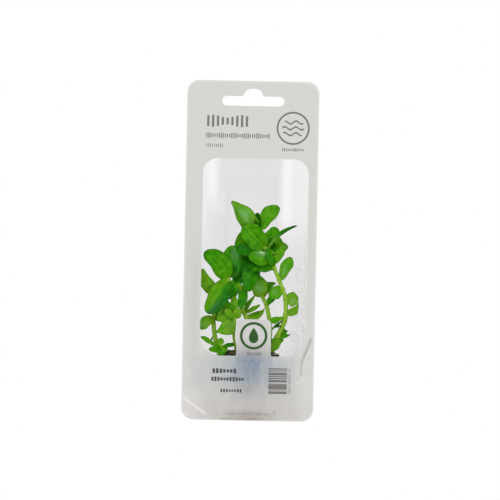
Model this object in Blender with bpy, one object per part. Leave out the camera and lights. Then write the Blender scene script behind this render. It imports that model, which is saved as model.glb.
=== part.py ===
"""Potted lemon bacopa in its hanging shop pack, at real size.

A clear thermoformed tray holds a small net pot with a mineral wool plug and six rooted stems of
lemon bacopa. A clear film closes the tray, and a printed sheet with a window in it lies on the film.

Frame: the origin is the point that hangs on a hook, at the top of the slot's hump. +X is to the
right of someone who looks at the front, +Y leads away from them into the tray, and +Z is up.
Sizes in the tables below are millimetres, and become metres when a mesh is made.
"""

import math
from collections import namedtuple

import bpy
import numpy as np

MM = 0.001
GAP = 0.3  # air left between pieces that touch on the real thing

# The pack's outline and the three sheets of its flange, from front to back.
PACK_WIDTH = 70.0
PACK_HEIGHT = 180.0
PACK_CORNER = 6.5
PACK_TOP = 4.1  # the top edge's height above the hook
PRINT_THICKNESS = 0.4
FILM_THICKNESS = 0.3
FLANGE_THICKNESS = 0.6
FILM_FRONT = -FILM_THICKNESS / 2
FILM_BACK = FILM_THICKNESS / 2
PRINT_BACK = FILM_FRONT - GAP
PRINT_FRONT = PRINT_BACK - PRINT_THICKNESS
FLANGE_FRONT = FILM_BACK + GAP
FLANGE_BACK = FLANGE_FRONT + FLANGE_THICKNESS

# The hang slot: a lying slot with a hump in the middle of its upper edge.
SLOT_WIDTH = 33.0
SLOT_HEIGHT = 5.2
SLOT_FALL = 9.2  # from the top of the hump to the slot's lower edge
HUMP_WIDTH = 8.8
HUMP_CORNER = 2.5
HUMP_BLEND = 1.4

# The window in the printed sheet, and the tab of the sheet that stands up into it.
WINDOW_LEFT = -25.8
WINDOW_RIGHT = 30.2
WINDOW_TOP = -37.0
WINDOW_BOTTOM = -141.7
WINDOW_TOP_CORNER = 8.0
WINDOW_BOTTOM_CORNER = 10.6
TAB_LEFT = -7.0
TAB_RIGHT = 11.9
TAB_TOP = -122.2
TAB_CORNER = 2.6
TAB_FOOT_CORNER = 1.0

# The tray's cavity, inside measures: its mouth at the flange and its flat back.
MOUTH_HALF_WIDTH = 30.0
MOUTH_TOP = -34.0
MOUTH_BOTTOM = -171.6
MOUTH_CORNER = 12.0
BACK_HALF_WIDTH = 19.5
BACK_TOP = -46.0
BACK_BOTTOM = -169.4
BACK_CORNER = 10.0
TRAY_DEPTH = 38.0  # where the inside of the back lies
TRAY_WALL = 0.6
MOUTH_FILLET = 1.2
BACK_FILLET = 6.0
CORNER_STEPS = 4

# The net pot, which stands on the tray's bottom wall.
POT_DEPTH = 18.6  # how far behind the film the pot's axis is
POT_TOP = -141.0
POT_BOTTOM = -169.4
RIM_RADIUS = 17.4
RIM_HEIGHT = 1.6
POT_TOP_RADIUS = 16.2
POT_BOTTOM_RADIUS = 13.0
POT_WALL = 0.9
POT_FLOOR = 1.0
POT_SLOTS = 12
UPPER_SLOTS = (-146.0, -154.5)
LOWER_SLOTS = (-156.5, -165.0)
BASE_SLOTS = (11.3, 5.0)  # outer and inner radius of the slots in the pot's floor

# The wool plug, which fills the pot and stands a little proud of it.
WOOL_TOP = -140.0
WOOL_EDGE = 1.2
WOOL_SIDES = 24

# The plant.
STEM_SIDES = 6
STEM_STEP = 3.0  # length of one piece of a stem's tube
STEM_FOOT = WOOL_TOP + GAP
FRONT = np.array([0.0, -1.0, 0.0])  # the way to someone who looks at the front
LEAF_THICKNESS = 0.55
LEAF_WIDEST = 0.46  # how far along the leaf it is widest
LEAF_ROUNDNESS = 2.2
LEAF_FOOT = 1.012  # over 1 leaves the foot some width
LEAF_POINT = 1.012  # over 1 leaves the tip some width
LEAF_ACROSS = 4
LEAF_ALONG = {"small": 5, "large": 7}
LARGE_LEAF = 8.0  # millimetres of length from which a leaf gets the finer mesh

Stem = namedtuple("Stem", "foot_radius tip_radius route")

# Each route runs up from the wool through places (x, depth, height) that it is seen to pass.
STEMS = {
    "right": Stem(1.15, 0.80, [
        (12.9, 15.5, STEM_FOOT), (13.4, 14.6, -135.5), (15.6, 13.4, -130.0), (17.8, 12.4, -125.0),
        (19.3, 11.7, -119.5), (19.3, 11.3, -114.0), (18.6, 11.0, -109.5), (16.8, 11.0, -105.0),
        (14.9, 11.0, -100.0), (12.9, 11.1, -95.0), (11.4, 11.2, -90.5), (9.4, 11.3, -86.5),
        (7.4, 11.4, -83.2),
    ]),
    "middle": Stem(0.95, 0.70, [
        (10.3, 21.5, STEM_FOOT), (11.3, 21.0, -133.0), (11.5, 20.5, -127.0), (10.5, 20.0, -120.3),
        (9.3, 19.4, -115.0), (7.2, 18.8, -110.8), (6.1, 18.4, -106.5), (4.8, 18.4, -100.0),
        (3.6, 18.6, -94.0),
    ]),
    "tall": Stem(1.05, 0.75, [
        (0.5, 21.0, STEM_FOOT), (0.8, 20.8, -133.0), (0.2, 20.2, -127.0), (-1.5, 19.6, -121.8),
        (-3.6, 19.0, -117.5), (-4.2, 18.6, -113.5), (-3.6, 18.2, -108.5), (-1.0, 17.8, -101.5),
        (1.4, 17.5, -95.5), (3.0, 17.2, -89.5), (3.7, 17.0, -81.0), (4.3, 17.0, -72.8),
    ]),
    "left": Stem(0.95, 0.75, [
        (-14.2, 17.5, STEM_FOOT), (-15.6, 16.4, -137.6), (-17.0, 15.2, -134.4), (-18.1, 14.5, -130.0),
        (-19.0, 14.0, -123.0), (-18.4, 13.4, -119.0), (-16.9, 12.4, -114.0), (-14.6, 11.4, -108.0),
        (-12.6, 10.8, -104.0), (-10.8, 10.4, -100.6),
    ]),
    "short": Stem(0.70, 0.55, [
        (-6.4, 11.5, STEM_FOOT), (-7.3, 11.0, -136.0), (-7.9, 10.4, -132.0), (-7.8, 10.0, -128.0),
        (-7.4, 9.8, -124.0), (-7.6, 9.8, -118.8),
    ]),
    "low": Stem(0.85, 0.70, [
        (-11.6, 10.6, STEM_FOOT), (-13.3, 9.2, -138.3), (-15.0, 8.0, -136.0),
    ]),
}

Leaf = namedtuple("Leaf", "name stem height tip width roll twist arch sweep fold taper")


def leaf(name, stem, height, tip, width, roll=0, twist=0, arch=0.05, sweep=0.0, fold=14, taper=0.0):
    """One leaf of the plant.

    It grows from the stem at the given height, and its tip is at (x, depth, height). Width is the
    widest measure across. Roll, in degrees, turns the upper face away from the front, so that a
    leaf with a roll near 90 shows its edge, and twist is added to it on the way to the tip. Arch
    lifts the middle of the midrib towards the upper face, and sweep moves it sideways in the leaf's
    own plane, both as a share of the length. Fold is how many degrees each half rises from the
    midrib. Taper narrows the outer half, from 0 for a blunt tip.
    """
    return Leaf(name, stem, height, tip, width, roll, twist, arch, sweep, fold, taper)


LEAVES = [
    leaf("leaf_crown_left", "tall", -73.0, (-10.8, 12.6, -60.3), 9.8, roll=-26, twist=90, sweep=-0.06),
    leaf("leaf_crown_right", "tall", -73.2, (14.4, 21.6, -61.9), 7.2, roll=8, sweep=-0.08, fold=8),
    leaf("leaf_crown_bud", "tall", -73.3, (3.6, 19.2, -66.0), 2.9, fold=24),
    leaf("leaf_crown_behind", "tall", -79.3, (-8.4, 12.6, -83.2), 7.8, roll=-20),
    leaf("leaf_tall_back", "tall", -84.0, (0.6, 27.0, -76.0), 8.0, roll=150),
    leaf("leaf_tall_drooping", "tall", -92.0, (-0.9, 12.6, -107.8), 9.4, roll=20, fold=18),
    leaf("leaf_tall_hanging", "tall", -106.4, (-4.6, 13.0, -117.0), 4.8, fold=24),
    leaf("leaf_tall_needle", "tall", -118.0, (1.9, 18.0, -109.4), 3.6, roll=-70, arch=0.0),
    leaf("leaf_tall_blade", "tall", -119.2, (5.4, 15.8, -114.8), 4.4, roll=-64, arch=-0.08),
    leaf("leaf_tall_lowest", "tall", -121.9, (8.1, 15.4, -115.9), 4.6, roll=-60, arch=-0.18, taper=0.5),
    leaf("leaf_right_top", "right", -83.6, (-3.8, 8.8, -72.2), 11.4, fold=16),
    leaf("leaf_right_top_back", "right", -83.4, (13.2, 18.6, -73.3), 6.2),
    leaf("leaf_right_needle", "right", -85.8, (24.4, 5.6, -71.9), 3.4, roll=-66, arch=0.13),
    leaf("leaf_right_shaded", "right", -85.4, (-7.8, 9.4, -86.2), 6.8, roll=30),
    leaf("leaf_right_pointing", "right", -85.2, (19.8, 18.6, -83.3), 5.8, taper=0.35),
    leaf("leaf_right_glossy", "right", -90.6, (-0.8, 5.4, -88.0), 7.6, roll=-12),
    leaf("leaf_right_upright", "right", -92.8, (13.4, 12.8, -77.6), 5.0, roll=-16, sweep=0.08, fold=4),
    leaf("leaf_right_level", "right", -94.6, (1.3, 8.8, -95.8), 7.0, roll=62),
    leaf("leaf_right_speckled", "right", -101.2, (20.8, 9.6, -88.9), 5.5, sweep=-0.02),
    leaf("leaf_right_inner", "right", -106.0, (10.3, 7.4, -109.9), 6.4, roll=-10),
    leaf("leaf_right_round", "right", -111.4, (25.2, 10.0, -110.6), 6.8),
    leaf("leaf_right_curved", "right", -119.5, (26.3, 9.0, -112.9), 5.1, sweep=0.10, taper=0.7),
    leaf("leaf_right_low_inner", "right", -121.5, (11.0, 8.6, -123.5), 4.6, roll=40),
    leaf("leaf_right_low_thin", "right", -122.8, (11.8, 14.0, -129.6), 3.4, roll=68, arch=0.20),
    leaf("leaf_right_foot_front", "right", -131.6, (14.2, 8.2, -138.9), 5.0),
    leaf("leaf_right_foot_outer", "right", -132.0, (19.5, 19.0, -127.0), 4.6, fold=8),
    leaf("leaf_middle_pale", "middle", -109.4, (3.4, 16.0, -98.8), 6.8),
    leaf("leaf_middle_arched", "middle", -109.8, (13.9, 20.6, -102.9), 4.8, sweep=-0.16, taper=0.4),
    leaf("leaf_middle_narrow", "middle", -114.6, (14.6, 14.8, -109.9), 4.2, roll=-58),
    leaf("leaf_middle_top_left", "middle", -94.6, (-4.4, 23.6, -89.0), 6.6, roll=165),
    leaf("leaf_middle_top_right", "middle", -94.8, (9.8, 22.6, -87.6), 6.4, roll=195),
    leaf("leaf_left_large", "left", -101.0, (-23.4, 5.6, -86.3), 10.0, roll=-8, sweep=0.12, fold=10),
    leaf("leaf_left_behind", "left", -100.6, (-8.7, 16.6, -83.4), 10.6, fold=6),
    leaf("leaf_left_hanging", "left", -101.8, (-22.3, 4.8, -119.6), 11.8, roll=-8, fold=24),
    leaf("leaf_left_shaded", "left", -102.2, (-9.2, 13.4, -111.8), 8.0, roll=-24),
    leaf("leaf_left_edge", "left", -108.8, (-25.7, 6.0, -96.5), 5.3, sweep=-0.13),
    leaf("leaf_left_low_outer", "left", -122.4, (-25.5, 8.6, -126.6), 5.4, sweep=0.10),
    leaf("leaf_left_low_inner", "left", -122.4, (-11.8, 17.8, -119.4), 4.4, roll=20),
    leaf("leaf_short_upright", "short", -119.6, (-8.3, 12.0, -110.2), 3.4, roll=10),
    leaf("leaf_short_side", "short", -119.4, (-15.2, 9.6, -115.5), 3.0, roll=30),
    leaf("leaf_short_front_right", "short", -122.0, (-5.4, 6.6, -116.6), 4.2),
    leaf("leaf_short_front_left", "short", -121.8, (-13.0, 5.4, -117.8), 3.8, roll=24),
    leaf("leaf_short_hanging", "short", -124.4, (-17.5, 7.0, -129.4), 9.0, roll=-4, sweep=-0.11, taper=0.7),
    leaf("leaf_low_left", "low", -137.6, (-25.4, 5.0, -132.0), 3.4, roll=66, arch=0.02),
    leaf("leaf_low_upright", "low", -136.5, (-15.4, 9.6, -132.2), 2.9),
    leaf("leaf_low_right", "low", -137.2, (-7.4, 6.0, -136.0), 4.0, roll=-60, arch=0.06),
    leaf("leaf_low_outer", "low", -137.9, (-21.0, 3.6, -138.8), 3.1),
    leaf("leaf_low_front", "low", -138.2, (-14.6, 3.6, -141.6), 4.0, fold=10),
]

Finish = namedtuple("Finish", "colour roughness alpha")

CLEAR_PLASTIC = Finish((0.90, 0.93, 0.92), 0.12, 0.25)
CLEAR_FILM = Finish((0.95, 0.96, 0.96), 0.08, 0.15)
GREY_PRINT = Finish((0.66, 0.66, 0.63), 0.35, 1.0)
POT_PLASTIC = Finish((0.035, 0.040, 0.050), 0.45, 1.0)
WOOL = Finish((0.13, 0.11, 0.045), 0.95, 1.0)
STEM_GREEN = Finish((0.24, 0.38, 0.07), 0.45, 1.0)
LEAF_GREEN = Finish((0.07, 0.26, 0.012), 0.38, 1.0)
YOUNG_GREEN = Finish((0.17, 0.36, 0.04), 0.38, 1.0)
YOUNG_STEMS = ("short",)


def clear_scene():
    """Remove every object that the new file came with."""
    for thing in list(bpy.data.objects):
        bpy.data.objects.remove(thing, do_unlink=True)


def make_material(name, finish):
    """A Principled material of one plain colour."""
    material = bpy.data.materials.new(name)
    material.use_nodes = True
    shader = material.node_tree.nodes["Principled BSDF"]
    shader.inputs["Base Color"].default_value = (*finish.colour, 1.0)
    shader.inputs["Roughness"].default_value = finish.roughness
    shader.inputs["Metallic"].default_value = 0.0
    shader.inputs["Alpha"].default_value = finish.alpha
    return material


def make_object(name, points, faces, finish=None, smooth=False):
    """An object from points in millimetres and faces that are lists of point numbers."""
    mesh = bpy.data.meshes.new(name)
    mesh.from_pydata((np.asarray(points, dtype=float) * MM).tolist(), [], [list(face) for face in faces])
    mesh.validate()
    if smooth:
        mesh.shade_smooth()
        mesh.set_sharp_from_angle(angle=math.radians(40))
    thing = bpy.data.objects.new(name, mesh)
    bpy.context.scene.collection.objects.link(thing)
    if finish is not None:
        mesh.materials.append(make_material(name + "_finish", finish))
    return thing


def rounded_path(corners, steps=CORNER_STEPS):
    """A closed flat outline with its corners rounded.

    Each corner is (x, z, radius). It is replaced by an arc that touches both of its sides.
    """
    places = np.array([(x, z) for x, z, _ in corners])
    path = []
    for i, (_, _, radius) in enumerate(corners):
        corner, before, after = places[i], places[i - 1], places[(i + 1) % len(places)]
        back = (before - corner) / np.linalg.norm(before - corner)
        onward = (after - corner) / np.linalg.norm(after - corner)
        half_angle = math.acos(np.clip(back @ onward, -1, 1)) / 2
        centre = corner + (back + onward) / np.linalg.norm(back + onward) * radius / math.sin(half_angle)
        start = corner + back * radius / math.tan(half_angle) - centre
        end = corner + onward * radius / math.tan(half_angle) - centre
        first = math.atan2(start[1], start[0])
        turn = (math.atan2(end[1], end[0]) - first + math.pi) % (2 * math.pi) - math.pi
        for step in range(steps + 1):
            angle = first + turn * step / steps
            path.append((centre[0] + radius * math.cos(angle), centre[1] + radius * math.sin(angle)))
    return path


def box_corners(left, right, bottom, top, radius):
    """Four corners of an upright rectangle, anticlockwise as seen from the front."""
    return [(left, bottom, radius), (right, bottom, radius), (right, top, radius), (left, top, radius)]


def pack_outline():
    """The outline that all three sheets share."""
    half = PACK_WIDTH / 2
    return rounded_path(box_corners(-half, half, PACK_TOP - PACK_HEIGHT, PACK_TOP, PACK_CORNER))


def slot_outline():
    """The hang slot: round ends, and a hump whose foot flares into the slot's upper edge."""
    half, hump = SLOT_WIDTH / 2, HUMP_WIDTH / 2
    low, high = -SLOT_FALL, -SLOT_FALL + SLOT_HEIGHT
    end = SLOT_HEIGHT / 2 - 0.05
    return rounded_path([
        (-half, low, end), (half, low, end), (half, high, end), (hump, high, HUMP_BLEND),
        (hump, 0.0, HUMP_CORNER), (-hump, 0.0, HUMP_CORNER), (-hump, high, HUMP_BLEND), (-half, high, end),
    ])


def window_outline():
    """The window, with the tab of the printed sheet standing up from its lower edge."""
    return rounded_path([
        (WINDOW_LEFT, WINDOW_BOTTOM, WINDOW_BOTTOM_CORNER), (TAB_LEFT, WINDOW_BOTTOM, TAB_FOOT_CORNER),
        (TAB_LEFT, TAB_TOP, TAB_CORNER), (TAB_RIGHT, TAB_TOP, TAB_CORNER),
        (TAB_RIGHT, WINDOW_BOTTOM, TAB_FOOT_CORNER), (WINDOW_RIGHT, WINDOW_BOTTOM, WINDOW_BOTTOM_CORNER),
        (WINDOW_RIGHT, WINDOW_TOP, WINDOW_TOP_CORNER), (WINDOW_LEFT, WINDOW_TOP, WINDOW_TOP_CORNER),
    ])


def plate(name, outline, front, back, finish=None):
    """A flat sheet of the given outline between two depths."""
    count = len(outline)
    points = [(x, front, z) for x, z in outline] + [(x, back, z) for x, z in outline]
    faces = [range(count), range(2 * count - 1, count - 1, -1)]
    for i in range(count):
        after = (i + 1) % count
        faces.append((i, i + count, after + count, after))
    return make_object(name, points, faces, finish)


def cut(thing, outline):
    """Cut a hole of the given outline right through a sheet, along the depth."""
    cutter = plate(thing.name + "_cutter", outline, PRINT_FRONT - 5, FLANGE_BACK + 5)
    cutter.hide_render = True
    cutter.display_type = "WIRE"
    boolean = thing.modifiers.new("cut_" + cutter.name, "BOOLEAN")
    boolean.operation = "DIFFERENCE"
    boolean.solver = "EXACT"
    boolean.object = cutter


def loft(rings):
    """Points and faces of a closed body through rings of equal count, with its two ends capped."""
    count = len(rings[0])
    points = [point for ring in rings for point in ring]
    faces = [list(range(count))]
    for row in range(len(rings) - 1):
        start, above = row * count, (row + 1) * count
        for i in range(count):
            after = (i + 1) % count
            faces.append((start + i, above + i, above + after, start + after))
    faces.append(list(range(len(points) - 1, len(points) - 1 - count, -1)))
    return points, faces


def cavity_ring(depth, inset, grow=0.0):
    """A ring of the tray's wall at a depth, moved inwards by inset and outwards by grow."""
    share = min(max(depth - FLANGE_FRONT, 0.0) / (TRAY_DEPTH - FLANGE_FRONT), 1.0)
    move = inset - grow
    half = MOUTH_HALF_WIDTH + (BACK_HALF_WIDTH - MOUTH_HALF_WIDTH) * share - move
    top = MOUTH_TOP + (BACK_TOP - MOUTH_TOP) * share - move
    bottom = MOUTH_BOTTOM + (BACK_BOTTOM - MOUTH_BOTTOM) * share + move
    corner = max(MOUTH_CORNER + (BACK_CORNER - MOUTH_CORNER) * share - move, 2.0)
    path = rounded_path(box_corners(-half, half, bottom, top, corner))
    return [(x, depth + grow, z) for x, z in path]


def tray_wall(grow):
    """Rings of one skin of the cavity, from its back to the flange."""
    rings = []
    for angle in (90, 60, 30, 0):
        turn = math.radians(angle)
        depth = TRAY_DEPTH - BACK_FILLET * (1 - math.sin(turn))
        rings.append(cavity_ring(depth, BACK_FILLET * (1 - math.cos(turn)), grow))
    for angle in (0, 45, 90):
        turn = math.radians(angle)
        depth = FLANGE_FRONT + MOUTH_FILLET * (1 - math.sin(turn))
        rings.append(cavity_ring(depth, -MOUTH_FILLET * (1 - math.cos(turn)), grow))
    return rings


def make_tray():
    """The clear tray: one skin from the inside of the back, round the flange, to the outside."""
    outline = pack_outline()
    inside = tray_wall(0.0)
    edge = [[(x, depth, z) for x, z in outline] for depth in (FLANGE_FRONT, FLANGE_BACK)]
    outside = tray_wall(TRAY_WALL)[::-1]
    points, faces = loft(inside + edge + outside)
    tray = make_object("tray", points, faces, CLEAR_PLASTIC)
    cut(tray, slot_outline())


def make_sheets():
    """The clear film that closes the tray, and the printed sheet with its window."""
    film = plate("lid_film", pack_outline(), FILM_FRONT, FILM_BACK, CLEAR_FILM)
    cut(film, slot_outline())
    sheet = plate("printed_sheet", pack_outline(), PRINT_FRONT, PRINT_BACK, GREY_PRINT)
    cut(sheet, slot_outline())
    cut(sheet, window_outline())


def pot_radius(height):
    """The outer radius of the pot's wall at a height."""
    share = (POT_TOP - height) / (POT_TOP - POT_BOTTOM)
    return POT_TOP_RADIUS + (POT_BOTTOM_RADIUS - POT_TOP_RADIUS) * share


def pot_circle(radius, height, sides):
    """A level ring round the pot's axis."""
    angles = [2 * math.pi * i / sides for i in range(sides)]
    return [(radius * math.cos(a), POT_DEPTH + radius * math.sin(a), height) for a in angles]


def make_pot():
    """The net pot: an outer and an inner skin that share every slot's four sides."""
    under_rim = POT_TOP - RIM_HEIGHT
    floor = POT_BOTTOM + POT_FLOOR
    wall_heights = (*UPPER_SLOTS, *LOWER_SLOTS)
    outer = [(RIM_RADIUS, POT_TOP), (RIM_RADIUS, under_rim), (pot_radius(under_rim), under_rim)]
    outer += [(pot_radius(z), z) for z in (*wall_heights, POT_BOTTOM)]
    outer += [(radius, POT_BOTTOM) for radius in BASE_SLOTS]
    inner = [(pot_radius(z) - POT_WALL, z) for z in (POT_TOP, POT_TOP - RIM_HEIGHT / 2, under_rim)]
    inner += [(pot_radius(z) - POT_WALL, z) for z in (*wall_heights, floor)]
    inner += [(radius, floor) for radius in BASE_SLOTS]

    sides = 2 * POT_SLOTS
    rows = len(outer)
    points = [p for radius, z in outer for p in pot_circle(radius, z, sides)]
    points += [p for radius, z in inner for p in pot_circle(radius, z, sides)]
    slotted_rows = (3, 5, rows - 2)  # the bands that start at these rows have slots

    def out(row, column):
        return row * sides + column % sides

    def inn(row, column):
        return (rows + row) * sides + column % sides

    faces = [[out(0, i), out(0, i + 1), inn(0, i + 1), inn(0, i)] for i in range(sides)]
    for row in range(rows - 1):
        for i in range(sides):
            if row in slotted_rows and i % 2:
                faces.append([out(row, i), out(row, i + 1), inn(row, i + 1), inn(row, i)][::-1])
                faces.append([out(row + 1, i), out(row + 1, i + 1), inn(row + 1, i + 1), inn(row + 1, i)])
                faces.append([out(row, i), inn(row, i), inn(row + 1, i), out(row + 1, i)][::-1])
                faces.append([out(row, i + 1), inn(row, i + 1), inn(row + 1, i + 1), out(row + 1, i + 1)])
            else:
                faces.append([out(row, i), out(row + 1, i), out(row + 1, i + 1), out(row, i + 1)])
                faces.append([inn(row, i), inn(row, i + 1), inn(row + 1, i + 1), inn(row + 1, i)])
    faces.append([out(rows - 1, i) for i in range(sides)][::-1])
    faces.append([inn(rows - 1, i) for i in range(sides)])
    make_object("net_pot", points, faces, POT_PLASTIC)


def make_wool():
    """The plug of mineral wool that the stems are rooted in."""
    top = pot_radius(POT_TOP) - POT_WALL - GAP
    bottom = POT_BOTTOM + POT_FLOOR + GAP
    profile = [
        (top - WOOL_EDGE, WOOL_TOP), (top - WOOL_EDGE / 3, WOOL_TOP - WOOL_EDGE / 3),
        (top, WOOL_TOP - WOOL_EDGE), (pot_radius(bottom) - POT_WALL - GAP, bottom),
    ]
    points, faces = loft([pot_circle(radius, height, WOOL_SIDES) for radius, height in profile])
    make_object("wool_plug", points, faces, WOOL)


def smooth_route(route, step):
    """Points along a smooth curve through the route's places, about one step apart.

    Between two places the curve is the cubic whose slopes at them are those of the lines that join
    their neighbours.
    """
    places = np.array(route, dtype=float)
    slopes = np.gradient(places, axis=0)
    points = []
    for i in range(len(places) - 1):
        here, there = places[i], places[i + 1]
        count = max(1, round(np.linalg.norm(there - here) / step))
        for t in np.arange(count) / count:
            points.append(
                (2 * t**3 - 3 * t**2 + 1) * here + (t**3 - 2 * t**2 + t) * slopes[i]
                + (3 * t**2 - 2 * t**3) * there + (t**3 - t**2) * slopes[i + 1]
            )
    points.append(places[-1])
    return np.array(points)


def stem_radii(stem, count):
    """A radius for each point of a stem, thinner towards the tip."""
    return np.linspace(stem.foot_radius, stem.tip_radius, count)


def make_stem(name, stem):
    """One stem as a tube that tapers towards its tip, cut level where it stands on the wool."""
    line = smooth_route(stem.route, STEM_STEP)
    tangents = np.gradient(line, axis=0)
    tangents /= np.linalg.norm(tangents, axis=1)[:, None]
    sides = np.cross(tangents, FRONT)
    sides /= np.linalg.norm(sides, axis=1)[:, None]
    turns = 2 * np.pi * np.arange(STEM_SIDES) / STEM_SIDES
    round_it = np.cos(turns)[None, :, None] * sides[:, None] + np.sin(turns)[None, :, None] * np.cross(
        tangents, sides)[:, None]
    rings = line[:, None] + stem_radii(stem, len(line))[:, None, None] * round_it
    rings[0, :, 2] = STEM_FOOT
    points, faces = loft(list(rings[::-1]))
    make_object("stem_" + name, points, faces, STEM_GREEN, smooth=True)


def stem_at(stem, height):
    """The stem's centre, direction and radius where it passes a height."""
    line = smooth_route(stem.route, STEM_STEP / 4)
    index = int(np.argmin(np.abs(line[:, 2] - height)))
    tangent = np.gradient(line, axis=0)[index]
    return line[index], tangent / np.linalg.norm(tangent), stem_radii(stem, len(line))[index]


def leaf_ends(blade):
    """Where the leaf's midrib starts, just clear of its stem, and where its tip is."""
    centre, tangent, radius = stem_at(STEMS[blade.stem], blade.height)
    tip = np.array(blade.tip)
    outward = tip - centre
    outward -= outward @ tangent * tangent
    outward /= np.linalg.norm(outward)
    return centre + outward * (radius + GAP + LEAF_THICKNESS / 2), tip


def leaf_directions(blade, along, share):
    """Unit vectors to the leaf's side and out of its upper face, for each share of its length."""
    face = FRONT - FRONT @ along * along
    face /= np.linalg.norm(face)
    side = np.cross(along, face)
    roll = np.radians(blade.roll + blade.twist * share**2 * (3 - 2 * share))[:, None]
    return side * np.cos(roll) - face * np.sin(roll), face * np.cos(roll) + side * np.sin(roll)


def leaf_half_widths(blade, share):
    """Half the leaf's width at each share of the way from foot to tip."""
    reach = np.where(share < LEAF_WIDEST, LEAF_WIDEST * LEAF_FOOT, (1 - LEAF_WIDEST) * LEAF_POINT)
    oval = np.sqrt(1 - (np.abs(share - LEAF_WIDEST) / reach) ** LEAF_ROUNDNESS)
    outer = np.clip((share - LEAF_WIDEST) / (1 - LEAF_WIDEST), 0, 1)
    return blade.width / 2 * oval * (1 - blade.taper * outer)


def make_leaf(blade):
    """One leaf as a thin lens-shaped body: an upper and a lower skin that meet along the edge.

    Both skins are split along the same diagonals, so that they stay apart where the leaf twists. The
    diagonals slope away from the leaf's middle, which keeps a point inside the edge in every face.
    """
    foot, tip = leaf_ends(blade)
    length = np.linalg.norm(tip - foot)
    rows = LEAF_ALONG["large" if length > LARGE_LEAF else "small"]
    share = (1 - np.cos(np.pi * np.arange(rows + 1) / rows)) / 2
    across = np.linspace(-1, 1, LEAF_ACROSS + 1)
    side, face = leaf_directions(blade, (tip - foot) / length, share)
    hump = (4 * share * (1 - share))[:, None]
    midrib = foot + share[:, None] * (tip - foot) + hump * length * (blade.arch * face + blade.sweep * side)
    half = leaf_half_widths(blade, share)[:, None]
    fold = math.radians(blade.fold)
    reach = (half * across * math.cos(fold))[..., None]
    rise = (half * np.abs(across) * math.sin(fold))[..., None]
    middle = midrib[:, None] + reach * side[:, None] + rise * face[:, None]
    plump = (np.sqrt(half / half.max()) * np.sqrt(1 - across**2) * LEAF_THICKNESS / 2)[..., None]
    upper = middle + plump * face[:, None]
    lower = middle - plump * face[:, None]

    columns = LEAF_ACROSS + 1
    points = [*upper.reshape(-1, 3)]
    above = np.arange(columns * (rows + 1)).reshape(rows + 1, columns)
    below = above.copy()
    below[1:-1, 1:-1] = len(points) + np.arange((rows - 1) * (columns - 2)).reshape(rows - 1, columns - 2)
    points += [*lower[1:-1, 1:-1].reshape(-1, 3)]
    faces = []
    for row in range(rows):
        for column in range(LEAF_ACROSS):
            for skin, order in ((above, 1), (below, -1)):
                near, far = skin[row, column:column + 2], skin[row + 1, column:column + 2]
                if (row < rows / 2) == (column < LEAF_ACROSS / 2):
                    halves = [near[0], near[1], far[1]], [near[0], far[1], far[0]]
                else:
                    halves = [near[0], near[1], far[0]], [near[1], far[1], far[0]]
                faces += [half_face[::order] for half_face in halves]
    finish = YOUNG_GREEN if blade.stem in YOUNG_STEMS else LEAF_GREEN
    make_object(blade.name, points, faces, finish, smooth=True)


def main():
    clear_scene()
    make_tray()
    make_sheets()
    make_pot()
    make_wool()
    for name, stem in STEMS.items():
        make_stem(name, stem)
    for blade in LEAVES:
        make_leaf(blade)


main()
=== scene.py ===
# %% [markdown]
# # A potted lemon bacopa in its hanging pack
#
# Lemon bacopa is a water plant with thick oval leaves in pairs. A shop hangs it up in a clear tray:
# the plant is rooted in a net pot of mineral wool, a clear film closes the tray, and a printed sheet
# with a window lies on the film. The solids of all these pieces are loaded first. They hold the
# sizes and the places. Each piece below is a finer surface that takes the place of one of them.

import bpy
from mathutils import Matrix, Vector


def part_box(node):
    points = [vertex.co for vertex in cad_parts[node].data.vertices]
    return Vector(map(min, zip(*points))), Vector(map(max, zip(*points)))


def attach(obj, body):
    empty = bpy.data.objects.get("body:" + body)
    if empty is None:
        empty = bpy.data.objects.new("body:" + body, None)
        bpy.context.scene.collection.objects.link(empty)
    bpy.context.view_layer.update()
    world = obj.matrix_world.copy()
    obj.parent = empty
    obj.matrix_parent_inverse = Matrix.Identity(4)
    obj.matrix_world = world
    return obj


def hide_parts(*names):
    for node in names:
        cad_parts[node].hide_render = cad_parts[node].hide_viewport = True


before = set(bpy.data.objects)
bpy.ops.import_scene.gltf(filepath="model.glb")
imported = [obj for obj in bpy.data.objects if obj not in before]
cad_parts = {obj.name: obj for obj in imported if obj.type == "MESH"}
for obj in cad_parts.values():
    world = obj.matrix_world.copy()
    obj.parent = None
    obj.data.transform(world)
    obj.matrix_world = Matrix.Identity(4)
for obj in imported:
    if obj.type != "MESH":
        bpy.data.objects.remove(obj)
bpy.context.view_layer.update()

# %% The modules and the unit
import math
from collections import namedtuple
from typing import NamedTuple

import bmesh
import bpy
import numpy as np
from mathutils import Matrix, Vector
from mathutils.geometry import delaunay_2d_cdt

MM = 0.001  # tables and formulas are in millimetres, meshes in metres
GAP = 0.3  # air left between pieces that touch on the real thing
SHARP_ANGLE = 50  # an edge that turns by more degrees than this is a sharp one


def box_mm(node):
    """The lowest and the highest corner of a solid, in millimetres."""
    low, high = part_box(node)
    return np.array(low) / MM, np.array(high) / MM


# %% [markdown]
# ## Pieces as arrays
#
# Every piece is worked out as an array of points and an array of faces, and then put into a mesh in
# one go. A leaf, a stem or a wall is a grid of points: its rows follow one direction, its columns
# the other. That is quick, and the same few lines serve for every piece.

# %% From arrays to a piece
BODY = "root"


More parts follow.
